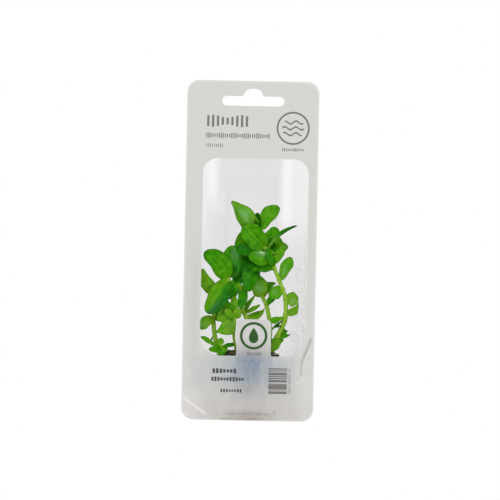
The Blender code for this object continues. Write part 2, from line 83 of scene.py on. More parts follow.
def make_piece(name, points, faces, finish, stands_for=(), uv=None, numbers=None, sharp=None):
    """A piece from points in millimetres and blocks of faces, each face a row of point numbers.

    uv gives two numbers for each point, and numbers is a dictionary of attributes with one number
    for each point. sharp is the angle in degrees above which an edge isn't shaded smooth.
    """
    mesh = bpy.data.meshes.new(name)
    lists = [row.tolist() for block in faces for row in block]
    mesh.from_pydata((np.asarray(points) * MM).tolist(), [], lists)
    if uv is not None:
        corners = np.empty(len(mesh.loops), dtype=np.int32)
        mesh.loops.foreach_get("vertex_index", corners)
        layer = mesh.uv_layers.new(name="UVMap")
        layer.data.foreach_set("uv", np.asarray(uv, dtype=np.float32)[corners].ravel())
    for label, values in (numbers or {}).items():
        attribute = mesh.attributes.new(label, "FLOAT", "POINT")
        attribute.data.foreach_set("value", np.asarray(values, dtype=np.float32).ravel())
    mesh.shade_smooth()
    if sharp is not None:
        mesh.set_sharp_from_angle(angle=math.radians(sharp))
    mesh.materials.append(finish)
    piece = bpy.data.objects.new(name, mesh)
    bpy.context.scene.collection.objects.link(piece)
    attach(piece, BODY)
    if stands_for:
        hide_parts(*stands_for)
    return piece


def grid_faces(rows, columns, start=0, closed=False):
    """Four-cornered faces between neighbours on a grid of points that is numbered row by row.

    Where closed is true, the last column joins the first one.
    """
    numbers = start + np.arange(rows * columns).reshape(rows, columns)
    onward = np.roll(numbers, -1, axis=1) if closed else numbers[:, 1:]
    here = numbers if closed else numbers[:, :-1]
    return np.stack([here[:-1], onward[:-1], onward[1:], here[1:]], axis=-1).reshape(-1, 4)


def closed_tube(rows, columns):
    """Blocks of faces for rings of points along a tube: its wall, and a many-sided face at each end."""
    first = np.arange(columns)[None]
    return [grid_faces(rows, columns, closed=True)[:, ::-1], first, first[:, ::-1] + (rows - 1) * columns]


def round_profile(radii, sides):
    """The corners of a circle for each radius: the radius times the cosine and sine of each turn."""
    turns = 2 * np.pi * np.arange(sides) / sides
    return radii[..., None, None] * np.stack([np.cos(turns), np.sin(turns)], axis=-1)


def carried_along(lines, profile, aside):
    """A profile carried along lines: its two numbers times two directions that are square to the line.

    The first direction is square to aside too, and the second is square to the first.
    """
    tangents = np.gradient(lines, axis=-2)
    tangents /= np.linalg.norm(tangents, axis=-1, keepdims=True)
    across = np.cross(tangents, aside)
    across /= np.linalg.norm(across, axis=-1, keepdims=True)
    other = np.cross(tangents, across)
    spread = profile[..., :1] * across[..., None, :] + profile[..., 1:] * other[..., None, :]
    return lines[..., None, :] + spread


def ease(values, start, end):
    """0 up to start, 1 from end, and a smooth step between them."""
    share = np.clip((values - start) / (end - start), 0, 1)
    return share * share * (3 - 2 * share)


# %% [markdown]
# ## Finishes as sums
#
# A material in Blender is a tree of nodes. Written as a tree it soon becomes unreadable, so a
# socket is wrapped in a small class here, and the maths of a pattern is then written as ordinary
# sums. The patterns are worked out from the place on the piece, and the leaves' veins from the
# leaf's own grid, so that they stay on the piece from every side.

# %% A socket that can be added and multiplied
class Wire:
    """A socket of a material that takes part in sums. Each operator adds one Math node."""

    def __init__(self, socket):
        self.socket = socket

    def node(self, kind, settings=None, inputs=None, output=0):
        """Add any other node: its type, its settings, then the values or wires of its sockets."""
        tree = self.socket.id_data
        made = tree.nodes.new(kind)
        for key, value in (settings or {}).items():
            if key == "stops":
                elements = made.color_ramp.elements
                while len(elements) < len(value):
                    elements.new(1.0)
                for element, (place, colour) in zip(elements, value):
                    element.position = place
                    element.color = (*colour, 1.0)
            else:
                setattr(made, key, value)
        for key, value in (inputs or {}).items():
            if isinstance(value, Wire):
                tree.links.new(value.socket, made.inputs[key])
            else:
                made.inputs[key].default_value = value
        return Wire(made.outputs[output])

    def maths(self, operation, *values):
        """A Math node that does the operation with the values."""
        return self.node("ShaderNodeMath", {"operation": operation}, dict(enumerate(values)))

    def __add__(self, other):
        return self.maths("ADD", self, other)

    def __sub__(self, other):
        return self.maths("SUBTRACT", self, other)

    def __rsub__(self, other):
        return self.maths("SUBTRACT", other, self)

    def __mul__(self, other):
        return self.maths("MULTIPLY", self, other)

    def __truediv__(self, other):
        return self.maths("DIVIDE", self, other)

    def __pow__(self, other):
        return self.maths("POWER", self, other)

    def __abs__(self):
        return self.maths("ABSOLUTE", self)

    __radd__ = __add__
    __rmul__ = __mul__

    def most(self, other):
        """The greater of two numbers."""
        return self.maths("MAXIMUM", self, other)

    def whole(self):
        """The number rounded down to a whole one."""
        return self.maths("FLOOR", self)

    def sine(self):
        """The sine of an angle in radians."""
        return self.maths("SINE", self)

    def ease(self, start, end):
        """0 on the far side of start, 1 beyond end, and a smooth step between them."""
        return self.node("ShaderNodeMapRange", {"interpolation_type": "SMOOTHSTEP"},
                         {"Value": self, "From Min": start, "From Max": end})

    def bell(self, middle, width):
        """1 at the middle, falling off on both sides as a bell curve of that width does."""
        away = (self - middle) / width
        return self.maths("EXPONENT", away * away * -1)


# %% A new finish and the place on a piece
def new_finish(name):
    """A material, its shader, and wires with the place on the piece in millimetres and the UV."""
    material = bpy.data.materials.new(name)
    material.use_nodes = True
    nodes = material.node_tree.nodes
    places = nodes.new("ShaderNodeTexCoord")
    place = Wire(places.outputs["Object"])
    place = place.node("ShaderNodeVectorMath", {"operation": "SCALE"}, {0: place, "Scale": 1 / MM})
    return material, nodes["Principled BSDF"], place, Wire(places.outputs["UV"])


def parts_of(vector):
    """The three numbers of a wire that carries a place."""
    return [vector.node("ShaderNodeSeparateXYZ", {}, {0: vector}, axis) for axis in range(3)]


def number_on(wire, label):
    """The number that an attribute of the mesh gives."""
    return wire.node("ShaderNodeAttribute", {"attribute_name": label}, {}, "Fac")


def dress(shader, **values):
    """Give the shader's sockets their values. A name is a socket's name in lower case."""
    for name, value in values.items():
        socket = next(s for s in shader.inputs if s.name.lower().replace(" ", "_") == name)
        if isinstance(value, Wire):
            shader.id_data.links.new(value.socket, socket)
        elif isinstance(value, tuple):
            socket.default_value = (*value, 1.0)
        else:
            socket.default_value = value


# %% Patterns to build finishes from
MIX_SHARE, MIX_FIRST, MIX_SECOND, MIX_COLOUR = 0, 6, 7, 2  # a Mix node's sockets for colours, by number


def mix(share, first, second):
    """The first colour where share is 0, the second where it is 1, and a blend of them between."""
    first, second = (tint if isinstance(tint, Wire) else (*tint, 1.0) for tint in (first, second))
    return share.node("ShaderNodeMix", {"data_type": "RGBA"},
                      {MIX_SHARE: share, MIX_FIRST: first, MIX_SECOND: second}, MIX_COLOUR)


def noise(place, size, detail=3.0, stretch=(1.0, 1.0, 1.0), rough=0.5):
    """Cloudy noise from 0 to 1, in lumps of about that size. A low stretch draws them out on its axis."""
    scaled = place.node("ShaderNodeMapping", {}, {"Vector": place, "Scale": stretch})
    return place.node("ShaderNodeTexNoise", {},
                      {"Vector": scaled, "Scale": 1 / size, "Detail": detail, "Roughness": rough}, "Fac")


def cells(place, size):
    """How far away the nearest of many scattered points is, as a share of the size they lie apart."""
    return place.node("ShaderNodeTexVoronoi", {}, {"Vector": place, "Scale": 1 / size}, "Distance")


def bump(height, depth):
    """A normal bent as if the surface rose by depth millimetres where height is 1."""
    return height.node("ShaderNodeBump", {}, {"Strength": 1.0, "Distance": depth * MM, "Height": height})


# %% [markdown]
# ## The camera and the studio
#
# The photograph shows the pack from straight ahead through a long lens, turned a little clockwise,
# before plain white. So the camera stands far off with a long lens, and the world that it sees is
# white. A world so bright would wash out every shadow, so it sends the pieces only a part of its
# light, and two wide soft lamps shape the leaves. A third one behind the pack lights its back. The
# pack hangs, and the floor is well below it.

# %% Camera
IMAGE = 500  # pixels along one side of the photograph
PIXEL = 0.5301  # millimetres of the pack's front that one pixel shows
CAMERA_DISTANCE = 1500.0
CAMERA_TURN = 1.157  # degrees that the pack leans clockwise in the picture
CAMERA_AIM = (-0.165, 0.0, -85.5)  # what the middle of the picture shows
SENSOR = 36.0  # millimetres across the camera's sensor

camera_data = bpy.data.cameras.new("camera")
camera_data.sensor_width = SENSOR
camera_data.lens = SENSOR * CAMERA_DISTANCE / (IMAGE * PIXEL)
camera = bpy.data.objects.new("camera", camera_data)
bpy.context.scene.collection.objects.link(camera)
aim = Vector(CAMERA_AIM) * MM
camera.matrix_world = (
    Matrix.Translation(aim + Vector((0, -CAMERA_DISTANCE * MM, 0)))
    @ Matrix.Rotation(math.radians(-CAMERA_TURN), 4, "Y") @ Matrix.Rotation(math.radians(90), 4, "X")
)
bpy.context.scene.camera = camera
bpy.context.scene.view_settings.view_transform = "Standard"
print("lens:", round(camera_data.lens, 1), "mm")

# %% World
WORLD_SHINE = 0.26  # how much of its white the world sends to the pieces

world = bpy.data.worlds.new("studio")
bpy.context.scene.world = world
world.use_nodes = True
background = world.node_tree.nodes["Background"]
rays = Wire(world.node_tree.nodes.new("ShaderNodeLightPath").outputs["Is Camera Ray"])
world.node_tree.links.new((rays * (1 - WORLD_SHINE) + WORLD_SHINE).socket, background.inputs["Strength"])
background.inputs["Color"].default_value = (1, 1, 1, 1)

# %% Lamps
LAMPS = [  # place and width in metres, power in watts
    ("key_lamp", (-0.7, -2.0, 1.1), 0.8, 28.6),
    ("fill_lamp", (1.3, -1.9, 0.25), 1.2, 17.7),
    ("back_lamp", (0.9, 2.0, 0.9), 1.2, 32.0),
]
for name, place, width, power in LAMPS:
    lamp_data = bpy.data.lights.new(name, "AREA")
    lamp_data.size = width
    lamp_data.energy = power
    lamp = bpy.data.objects.new(name, lamp_data)
    lamp.location = place
    lamp.rotation_euler = (aim - Vector(place)).to_track_quat("-Z", "Y").to_euler()
    bpy.context.scene.collection.objects.link(lamp)
print("lamps:", len(LAMPS))

# %% Floor
FLOOR_HEIGHT, FLOOR_HALF = -0.42, 0.55  # in metres
FLOOR_CORNERS = [(-1, -1), (1, -1), (1, 1), (-1, 1)]
floor_mesh = bpy.data.meshes.new("floor")
floor_mesh.from_pydata([(x * FLOOR_HALF, y * FLOOR_HALF, FLOOR_HEIGHT) for x, y in FLOOR_CORNERS],
                       [], [(0, 1, 2, 3)])
floor = bpy.data.objects.new("floor", floor_mesh)
bpy.context.scene.collection.objects.link(floor)
floor_finish, floor_shader, *_ = new_finish("pale_floor")
dress(floor_shader, base_color=(0.86, 0.86, 0.85), roughness=0.7)
floor_mesh.materials.append(floor_finish)
print("floor:", 2 * FLOOR_HALF, "m wide")

# %% [markdown]
# ## The outlines of the flat pieces
#
# Flange, film and printed sheet share one outline: an upright rectangle with round corners, and the
# slot that the pack hangs by. A curve object could draw it, but an array of points can also be asked
# which places lie inside it and how far they are from its edge. An outline is written as its corners
# with a radius for each, and every corner becomes an arc.

# %% The pack's outline and the slot
PACK_CORNER = 6.5
CORNER_STEPS = 14
(PACK_LEFT, _, PACK_BOTTOM), (PACK_RIGHT, _, PACK_TOP) = box_mm("lid_film")

SLOT_HALF = 16.5
SLOT_LOW, SLOT_HIGH = -9.2, -4.0
SLOT_END_FLAT = 0.05  # half of the straight stretch between the two arcs at an end of the slot
HUMP_TOP = 0.0  # heights are measured from here, where the hook carries the pack
HUMP_HALF, HUMP_FOOT = 3.9, 5.3  # the hump is a dome whose sides spread towards the slot
HUMP_CORNER = 4.2
HUMP_BLEND = 1.5


def rounded_path(corners):
    """A closed outline from corners (x, z, radius), each replaced by an arc that touches its sides.

    The arc's centre lies on the line that halves the corner, radius / sin(half the angle) from it.
    """
    corners = np.array(corners, dtype=float)
    spots, radii = corners[:, :2], corners[:, 2:]
    back, onward = np.roll(spots, 1, axis=0) - spots, np.roll(spots, -1, axis=0) - spots
    back /= np.linalg.norm(back, axis=1, keepdims=True)
    onward /= np.linalg.norm(onward, axis=1, keepdims=True)
    half = np.arccos(np.clip((back * onward).sum(axis=1, keepdims=True), -1, 1)) / 2
    inward = (back + onward) / np.linalg.norm(back + onward, axis=1, keepdims=True)
    centres = spots + inward * radii / np.sin(half)
    start = spots + back * radii / np.tan(half) - centres
    end = spots + onward * radii / np.tan(half) - centres
    first = np.arctan2(start[:, 1], start[:, 0])
    turn = (np.arctan2(end[:, 1], end[:, 0]) - first + np.pi) % (2 * np.pi) - np.pi
    angles = first[:, None] + turn[:, None] * np.linspace(0, 1, CORNER_STEPS + 1)
    arcs = centres[:, None] + radii[:, None] * np.stack([np.cos(angles), np.sin(angles)], axis=-1)
    return arcs.reshape(-1, 2)


def upright_box(left, right, bottom, top, radius):
    """An upright rectangle with round corners, anticlockwise as seen from the front."""
    return rounded_path([(left, bottom, radius), (right, bottom, radius),
                         (right, top, radius), (left, top, radius)])


pack_outline = upright_box(PACK_LEFT, PACK_RIGHT, PACK_BOTTOM, PACK_TOP, PACK_CORNER)
slot_end = (SLOT_HIGH - SLOT_LOW) / 2 - SLOT_END_FLAT
slot_outline = rounded_path([
    (-SLOT_HALF, SLOT_LOW, slot_end), (SLOT_HALF, SLOT_LOW, slot_end), (SLOT_HALF, SLOT_HIGH, slot_end),
    (HUMP_FOOT, SLOT_HIGH, HUMP_BLEND), (HUMP_HALF, HUMP_TOP, HUMP_CORNER),
    (-HUMP_HALF, HUMP_TOP, HUMP_CORNER), (-HUMP_FOOT, SLOT_HIGH, HUMP_BLEND),
    (-SLOT_HALF, SLOT_HIGH, slot_end),
])
print("pack:", round(PACK_RIGHT - PACK_LEFT, 1), "by", round(PACK_TOP - PACK_BOTTOM, 1), "mm")

# %% Inside or outside, and how far from the edge
TINY = 1e-12  # keeps a side of no length from being a division by 0


def inside(points, outlines):
    """Which points lie inside an odd number of the outlines.

    A level line to the right of such a point crosses the outlines' sides an odd number of times.
    """
    odd = np.zeros(len(points), dtype=bool)
    x, z = points[:, :1], points[:, 1:]
    for outline in outlines:
        (x0, z0), (x1, z1) = outline.T, np.roll(outline, -1, axis=0).T
        spans = (z0 > z) != (z1 > z)
        with np.errstate(divide="ignore", invalid="ignore"):
            left = x < (x1 - x0) * (z - z0) / (z1 - z0) + x0
        odd ^= (spans & left).sum(axis=1) % 2 == 1
    return odd


def distance_to(points, outlines):
    """The distance from each point to the nearest side of any of the outlines."""
    nearest = np.full(len(points), np.inf)
    for outline in outlines:
        sides = np.roll(outline, -1, axis=0) - outline
        away = points[:, None] - outline
        share = np.clip((away * sides).sum(-1) / np.maximum((sides**2).sum(-1), TINY), 0, 1)
        gaps = np.linalg.norm(away - share[..., None] * sides, axis=-1)
        nearest = np.minimum(nearest, gaps.min(axis=1))
    return nearest


# %% A flat sheet with holes, as triangles
EDGE_CLEARANCE = 0.55  # how far the grid's points keep from an outline, as a share of their spacing
ALL_TRIANGLES = 0  # asks delaunay_2d_cdt for the triangles in the holes too, which are left out below
SAME_POINT = 1e-6  # points that are closer together than this count as one


def flat_sheet(outlines, spacing):
    """Points (x, z) and triangles of a sheet: the first outline less the others.

    A grid of points, every second row moved by half a step, fills the sheet, and the triangles join
    the points so that none is thinner than it has to be.
    """
    low, high = outlines[0].min(axis=0), outlines[0].max(axis=0)
    xs, zs = np.arange(low[0], high[0], spacing), np.arange(low[1], high[1], spacing)
    grid = np.stack(np.meshgrid(xs, zs), axis=-1)
    grid[1::2, :, 0] += spacing / 2
    grid = grid.reshape(-1, 2)
    grid = grid[inside(grid, outlines) & (distance_to(grid, outlines) > spacing * EDGE_CLEARANCE)]
    starts = np.cumsum([0] + [len(outline) for outline in outlines])
    edges = [(start + i, start + (i + 1) % (end - start))
             for start, end in zip(starts[:-1], starts[1:]) for i in range(end - start)]
    points = np.concatenate([*outlines, grid])
    found = delaunay_2d_cdt([Vector(point) for point in points], edges, [], ALL_TRIANGLES, SAME_POINT)
    spots = np.array([tuple(spot) for spot in found[0]])
    triangles = np.array(found[2])
    triangles = triangles[inside(spots[triangles].mean(axis=1), outlines)]
    used = np.unique(triangles)
    renumber = np.zeros(len(spots), dtype=int)
    renumber[used] = np.arange(len(used))
    return spots[used], renumber[triangles]


def rim_edges(triangles):
    """The directed edges that belong to one triangle only."""
    edges = np.concatenate([triangles[:, [0, 1]], triangles[:, [1, 2]], triangles[:, [2, 0]]])
    size = triangles.max() + 1
    codes, reverse = edges @ [size, 1], edges @ [1, size]
    return edges[~np.isin(codes, reverse)]


def make_sheet(name, node, outlines, spacing, relief, finish):
    """A thin sheet as deep as a solid, with relief(points) added to the depth of both its faces.

    Its attribute rim is each point's distance from the outer edge, in millimetres, and its attribute
    front is 1 on the front and 0 on the back.
    """
    (_, front, _), (_, back, _) = box_mm(node)
    spots, triangles = flat_sheet(outlines, spacing)
    count = len(spots)
    points = np.concatenate([np.insert(spots, 1, depth + relief(spots), axis=1) for depth in (front, back)])
    rim = rim_edges(triangles)
    walls = np.stack([rim[:, 1], rim[:, 0], rim[:, 0] + count, rim[:, 1] + count], axis=-1)
    faces = [triangles, triangles[:, ::-1] + count, walls]
    rim_gap = np.tile(distance_to(spots, outlines[:1]), 2)
    make_piece(name, points, faces, finish, stands_for=(node,), sharp=SHARP_ANGLE,
               numbers={"rim": rim_gap, "front": np.repeat([1.0, 0.0], count)})
    print(name, "has", len(triangles) * 2 + len(walls) * 2, "triangles")


# %% [markdown]
# ## The clear tray
#
# The tray is a sheet of clear plastic, drawn by vacuum over a mould while it was hot. A sheet drawn
# like that has the same rounded outline all the way down, only smaller, with a soft fillet at the
# mouth and a wider one round the back. Scaling and filleting a box would come close, but the two
# fillets would be hard to hold. So its wall is a stack of rounded rectangles, each worked out from
# its depth, and the flange is a flat sheet from the mouth to the pack's edge with the slot in it.
#
# Real clear plastic bends and stops light. Here it is see-through by its alpha, a faint grey veil
# over what lies behind, which gives no grain in a small picture and also works outside Blender.

# %% Clear plastic
TRAY_GREY, FILM_GREY = (0.34, 0.35, 0.345), (0.03, 0.03, 0.03)


def clear_finish(name, alpha, colour, rough):
    """Clear plastic: a faint grey veil, with fine scuffs that show in its gloss alone."""
    finish, shader, place, _ = new_finish(name)
    scuffs = noise(place, 6.0, detail=6.0, stretch=(1.0, 1.0, 0.25))
    dress(shader, base_color=colour, alpha=alpha(place), roughness=scuffs * 0.10 + rough, ior=1.5)
    return finish


# %% How clear the tray is
BACK_VEIL = 0.152  # the share of the light that the tray's flat back stops
VEIL_MIDDLE = -1.0  # the bright bands lie evenly to both sides of this place


def tray_veil(place):
    """How much of the light the tray's skin stops.

    The flat back stops 15 % of it. Higher up, a painted highlight lies on each side: the veil is thinned
    to a bright stripe in the rounding next to the back, and the wall beside it is clearer than the back
    too. Lower down the wall is wet and duller, with droplets on the right. Where it turns into the
    flange, a thin painted dark line stands for the plastic seen edge-on.
    """
    x, _, z = parts_of(place)
    side = abs(x - VEIL_MIDDLE)
    # Painted highlights: the veil is thinned in a stripe on each side and over the wall beside it.
    painted_highlight_band = side.ease(14.5, 20.2) * side.ease(24.6, 20.6) * ((z + x * 0.35).ease(-78.0, -58.0) * 0.64 + 0.10)
    wall = side.ease(20.6, 24.6) * (z.ease(-92.0, -62.0) * 0.42 + 0.06)
    wet = side.ease(23.5, 27.0) * z.ease(-62.0, -92.0) * 0.012
    wet = wet + side.ease(19.0, 27.0) * z.ease(-112.0, -140.0) * 0.028 + z.ease(-134.0, -141.0) * 0.02
    cloud = noise(place, 30.0, detail=1.0) * 0.04 - 0.02
    speckle = cells(place, 1.7).ease(0.52, 0.30) * noise(place, 7.0).ease(0.40, 0.60)
    haze = speckle * x.ease(17.0, 26.0) * z.ease(-78.0, -105.0) * 0.12
    # A painted dark line where the wall turns into the flange.
    edge = x.bell(29.25, 0.30) * z.ease(-50.0, -80.0) * z.ease(-136.0, -126.0) * 0.05
    return (BACK_VEIL + cloud) * (1 - painted_highlight_band - wall) + wet + haze + edge


# %% The tray's wall
MOUTH = (-30.0, 30.0, -171.6, -34.0)  # left, right, bottom and top at the film
MOUTH_CORNER = 12.0
BACK = (-19.5, 19.5, -169.4, -46.0)  # the same at the back
BACK_CORNER = 10.0
LEAST_CORNER = 2.0
MOUTH_FILLET, MOUTH_RINGS = 1.2, 7  # a fillet's radius, and how many rings of points go round it
BACK_FILLET, BACK_RINGS = 6.0, 11
WALL_RINGS = 40
TRAY_WALL = 0.6
(_, FLANGE_FRONT, _), (_, TRAY_BACK, _) = box_mm("tray")
FLANGE_BACK = FLANGE_FRONT + TRAY_WALL
TRAY_DEPTH = TRAY_BACK - TRAY_WALL


def cavity_ring(depth, inset, grow):
    """The wall's outline at a depth, moved inwards by inset and outwards by grow."""
    share = np.clip((depth - FLANGE_FRONT) / (TRAY_DEPTH - FLANGE_FRONT), 0, 1)
    left, right, bottom, top = np.array(MOUTH) + (np.array(BACK) - np.array(MOUTH)) * share
    move = inset - grow
    corner = max(MOUTH_CORNER + (BACK_CORNER - MOUTH_CORNER) * share - move, LEAST_CORNER)
    ring = upright_box(left + move, right - move, bottom + move, top - move, corner)
    return np.stack([ring[:, 0], np.full(len(ring), depth + grow), ring[:, 1]], axis=-1)


def tray_skin(grow):
    """Rings from the back to the flange: round the back's fillet, up the wall, round the mouth's."""
    back_turns = np.radians(np.linspace(90, 0, BACK_RINGS))
    mouth_turns = np.radians(np.linspace(0, 90, MOUTH_RINGS))
    stops = [(TRAY_DEPTH - BACK_FILLET * (1 - math.sin(t)), BACK_FILLET * (1 - math.cos(t)))
             for t in back_turns]
    straight = np.linspace(TRAY_DEPTH - BACK_FILLET, FLANGE_FRONT + MOUTH_FILLET, WALL_RINGS)[1:-1]
    stops += [(depth, 0.0) for depth in straight]
    stops += [(FLANGE_FRONT + MOUTH_FILLET * (1 - math.sin(t)), -MOUTH_FILLET * (1 - math.cos(t)))
              for t in mouth_turns]
    return np.array([cavity_ring(depth, inset, grow) for depth, inset in stops])


# %% The tray
CLEAR_SPACING = 4.0  # between the points of the flat clear sheets
WELD_DISTANCE = 0.004


def weld(piece):
    """Join points of a piece that lie in the same place."""
    work = bmesh.new()
    work.from_mesh(piece.data)
    bmesh.ops.remove_doubles(work, verts=work.verts, dist=WELD_DISTANCE * MM)
    work.to_mesh(piece.data)
    work.free()


def make_tray(finish):
    """Two skins a wall's thickness apart, each with its back and its part of the flange, and a rim."""
    points, faces = [], []
    start = 0
    for grow, order in ((0.0, 1), (TRAY_WALL, -1)):
        skin = tray_skin(grow)
        rows, columns = skin.shape[:2]
        points.append(skin.reshape(-1, 3))
        faces.append(grid_faces(rows, columns, start, closed=True)[:, ::order])
        start += rows * columns
        back, mouth = skin[0][:, [0, 2]], skin[-1][:, [0, 2]]
        for outlines, depth in (([back], TRAY_DEPTH + grow),
                                ([pack_outline, slot_outline, mouth], FLANGE_FRONT + grow)):
            spots, triangles = flat_sheet(outlines, CLEAR_SPACING)
            points.append(np.insert(spots, 1, depth, axis=1))
            faces.append((triangles + start)[:, ::order])
            start += len(spots)
    for outline, order in ((pack_outline, 1), (slot_outline, -1)):
        rim = np.array([np.insert(outline, 1, depth, axis=1) for depth in (FLANGE_FRONT, FLANGE_BACK)])
        points.append(rim.reshape(-1, 3))
        faces.append(grid_faces(2, len(outline), start, closed=True)[:, ::-order])
        start += 2 * len(outline)
    piece = make_piece("clear_tray", np.concatenate(points), faces, finish,
                       stands_for=("tray",), sharp=SHARP_ANGLE)
    weld(piece)
    print("tray:", len(piece.data.polygons), "faces")


make_tray(clear_finish("clear_tray_plastic", tray_veil, TRAY_GREY, 0.10))

# %% [markdown]
# ## The film and the printed sheet
#
# The film is welded to the flange, so it is flat but for a slight wave. The printed sheet is stiffer.
# On the real pack it has been handled: a long crease runs to the window's lower right corner, another
# across the lower left corner. Both are flat sheets of small triangles whose depth is then a function
# of the place. A cloth simulation would crumple them too, but never where the real creases are.

# %% The film
FILM_WAVE = 0.05


def film_wave(spots):
    """A slow wave, like that of a film pulled flat by hand."""
    x, z = spots.T
    return FILM_WAVE * np.sin(x / 9 + 0.6 * np.sin(z / 23)) * np.cos(z / 17)


def film_veil(place):
    """The film is clearer than the tray and a little cloudy."""
    return noise(place, 25.0, detail=1.0) * 0.008 + 0.006


make_sheet("clear_cover", "lid_film", [pack_outline, slot_outline], CLEAR_SPACING, film_wave,
           clear_finish("clear_film_plastic", film_veil, FILM_GREY, 0.06))

# %% Where the print lies
WINDOW_LEFT, WINDOW_RIGHT = -25.8, 30.2
WINDOW_TOP, WINDOW_BOTTOM = -37.0, -141.7
WINDOW_TOP_CORNER, WINDOW_BOTTOM_CORNER = 8.0, 10.6
TAB_LEFT, TAB_RIGHT, TAB_TOP = -6.4, 11.9, -122.2
TAB_CORNER, TAB_FOOT_CORNER = 2.6, 1.0
window_outline = rounded_path([
    (WINDOW_LEFT, WINDOW_BOTTOM, WINDOW_BOTTOM_CORNER), (TAB_LEFT, WINDOW_BOTTOM, TAB_FOOT_CORNER),
    (TAB_LEFT, TAB_TOP, TAB_CORNER), (TAB_RIGHT, TAB_TOP, TAB_CORNER),
    (TAB_RIGHT, WINDOW_BOTTOM, TAB_FOOT_CORNER), (WINDOW_RIGHT, WINDOW_BOTTOM, WINDOW_BOTTOM_CORNER),
    (WINDOW_RIGHT, WINDOW_TOP, WINDOW_TOP_CORNER), (WINDOW_LEFT, WINDOW_TOP, WINDOW_TOP_CORNER),
])

Crease = namedtuple("Crease", "start end rise width")
CREASES = [  # a rise above 0 is a ridge towards the front, below 0 a groove
    Crease((33.6, -131.0), (28.6, -143.8), 0.25, 0.9),
    Crease((28.7, -142.6), (27.9, -151.8), 0.18, 0.8),
    Crease((-34.0, -164.2), (-20.8, -173.4), -0.25, 0.7),
    Crease((32.7, -137.6), (30.8, -143.2), -0.12, 0.45),
    Crease((32.3, -140.6), (31.2, -143.8), 0.12, 0.35),
    Crease((26.0, -155.6), (30.2, -152.8), -0.12, 0.6),
]


PRINT_WAVE = 0.04


def along_line(x, z, crease):
    """How far along a crease a point is, from 0 to 1, and how far from its line, in millimetres."""
    (x0, z0), (x1, z1) = crease.start, crease.end
    length = math.hypot(x1 - x0, z1 - z0)
    ux, uz = (x1 - x0) / length, (z1 - z0) / length
    return ((x - x0) * ux + (z - z0) * uz) / length, (x - x0) * uz - (z - z0) * ux


def print_relief(spots):
    """A slow wave, with ridges and grooves: bell curves across a crease, faded out at its ends."""
    x, z = spots.T
    lift = PRINT_WAVE * np.sin(x / 11 + 1.0) * np.sin(z / 19)
    for crease in CREASES:
        along, across = along_line(x, z, crease)
        fading = ease(along, -0.05, 0.1) * ease(-along, -1.1, -0.9)
        lift -= crease.rise * np.exp(-(across / crease.width) ** 2) * fading
    return lift


print("creases:", len(CREASES))

# %% [markdown]
# ## The print
#
# The print is grey ink on the sheet, with dark lettering, two emblems and a code. It could be a
# picture laid on the sheet, but a picture has a fixed sharpness. So each mark is a formula of its
# place instead: 1 where there is ink, 0 where there is none, and a soft edge between. The pack is
# to carry no real words, so rows of plain strokes stand where the lettering is.

# %% Marks and what they share
INK_EDGE = 0.16  # millimetres over which the edge of a mark fades


def within(distance, limit, soft=INK_EDGE):
    """1 where a distance is below the limit, 0 where it is above, with a soft edge."""
    return distance.ease(limit + soft / 2, limit - soft / 2)


def distance_from(x, z, spot):
    """The distance from a spot: the root of the sum of the two squares."""
    return ((x - spot[0]) ** 2 + (z - spot[1]) ** 2) ** 0.5


# %% Rows of strokes
Bar = namedtuple("Bar", "x z width height round")
Row = namedtuple("Row", "x z count height pitch stroke")
HEADER_ROWS = [  # rows of plain upright strokes: left end, middle, how many, height, pitch and width
    Row(-24.9, -17.4, 9, 6.4, 2.56, 1.20),
    Row(-24.8, -25.1, 31, 2.9, 1.10, 0.58),
    Row(-24.7, -30.4, 9, 2.2, 1.04, 0.38),
    Row(15.6, -32.0, 12, 1.8, 0.98, 0.50),
]
NAME_ROWS = [
    Row(-19.0, -149.8, 7, 2.7, 1.86, 1.36), Row(-19.5, -154.1, 11, 2.5, 1.60, 1.14),
    Row(-14.6, -160.2, 8, 1.9, 1.46, 0.92),
]
BADGE_ROW = Row(-0.8, -140.5, 9, 1.9, 0.85, 0.56)


def row_ink(x, z, row):
    """Upright strokes side by side, whose heights rise and fall along the row as a sine wave does."""
    along = (x - row.x) / row.pitch
    cell = along.whole()
    stroke = within(abs(along - cell - 0.5) * row.pitch, row.stroke / 2)
    half = ((cell * 1.05 + 0.6).sine() * 0.22 + 0.78) * (row.height / 2)
    in_row = along.ease(-0.01, 0.01) * along.ease(row.count + 0.01, row.count - 0.01)
    return stroke * within(abs(z - row.z) - half, 0.0) * in_row


def all_ink(x, z, rows):
    """The most that any of the rows inks a place."""
    ink = row_ink(x, z, rows[0])
    for row in rows[1:]:
        ink = ink.most(row_ink(x, z, row))
    return ink


# %% The two emblems
EMBLEM = (21.4, -20.6)
EMBLEM_RADIUS = 8.3
EMBLEM_LINE = 0.95
WAVE_LIFTS = (-3.1, 0.0, 3.1)
WAVE_REACH = 5.9  # the waves end this far from the emblem's middle
WAVE_LINE = 0.9
BADGE = (2.7, -130.9)
BADGE_RADIUS = 6.6
BADGE_LINE = 1.35
DROP_WIDTH, DROP_HEIGHT = 5.0, 8.2
DROP_DOWN = 3.9  # from the badge's middle down to the drop's foot
DROP_FULLEST = 0.385  # the highest value of the drop's outline, (1 - share) * share ** 0.5


def ring_ink(x, z, centre, radius, line):
    """1 on a ring, 0 off it."""
    return within(abs(distance_from(x, z, centre) - radius), line / 2)


def wave_ink(x, z, lift):
    """A wavy line inside the emblem: a sine curve of a given thickness, cut off by a circle."""
    wave = ((x - EMBLEM[0]) * 1.05).sine() * 0.75
    line = within(abs(z - EMBLEM[1] - lift - wave), WAVE_LINE / 2)
    return line * within(distance_from(x, z, EMBLEM), WAVE_REACH)


def drop_ink(x, z):
    """A drop in the badge, round below and pointed above: as wide as (1 - share) times root of share."""
    up = (z - (BADGE[1] - DROP_DOWN)) / DROP_HEIGHT
    share = up.node("ShaderNodeClamp", {}, {0: up})
    half = (1 - share) * share ** 0.5 * (DROP_WIDTH / 2 / DROP_FULLEST)
    return within(abs(x - BADGE[0]) - half, 0.0) * half.ease(0.0, 0.1)


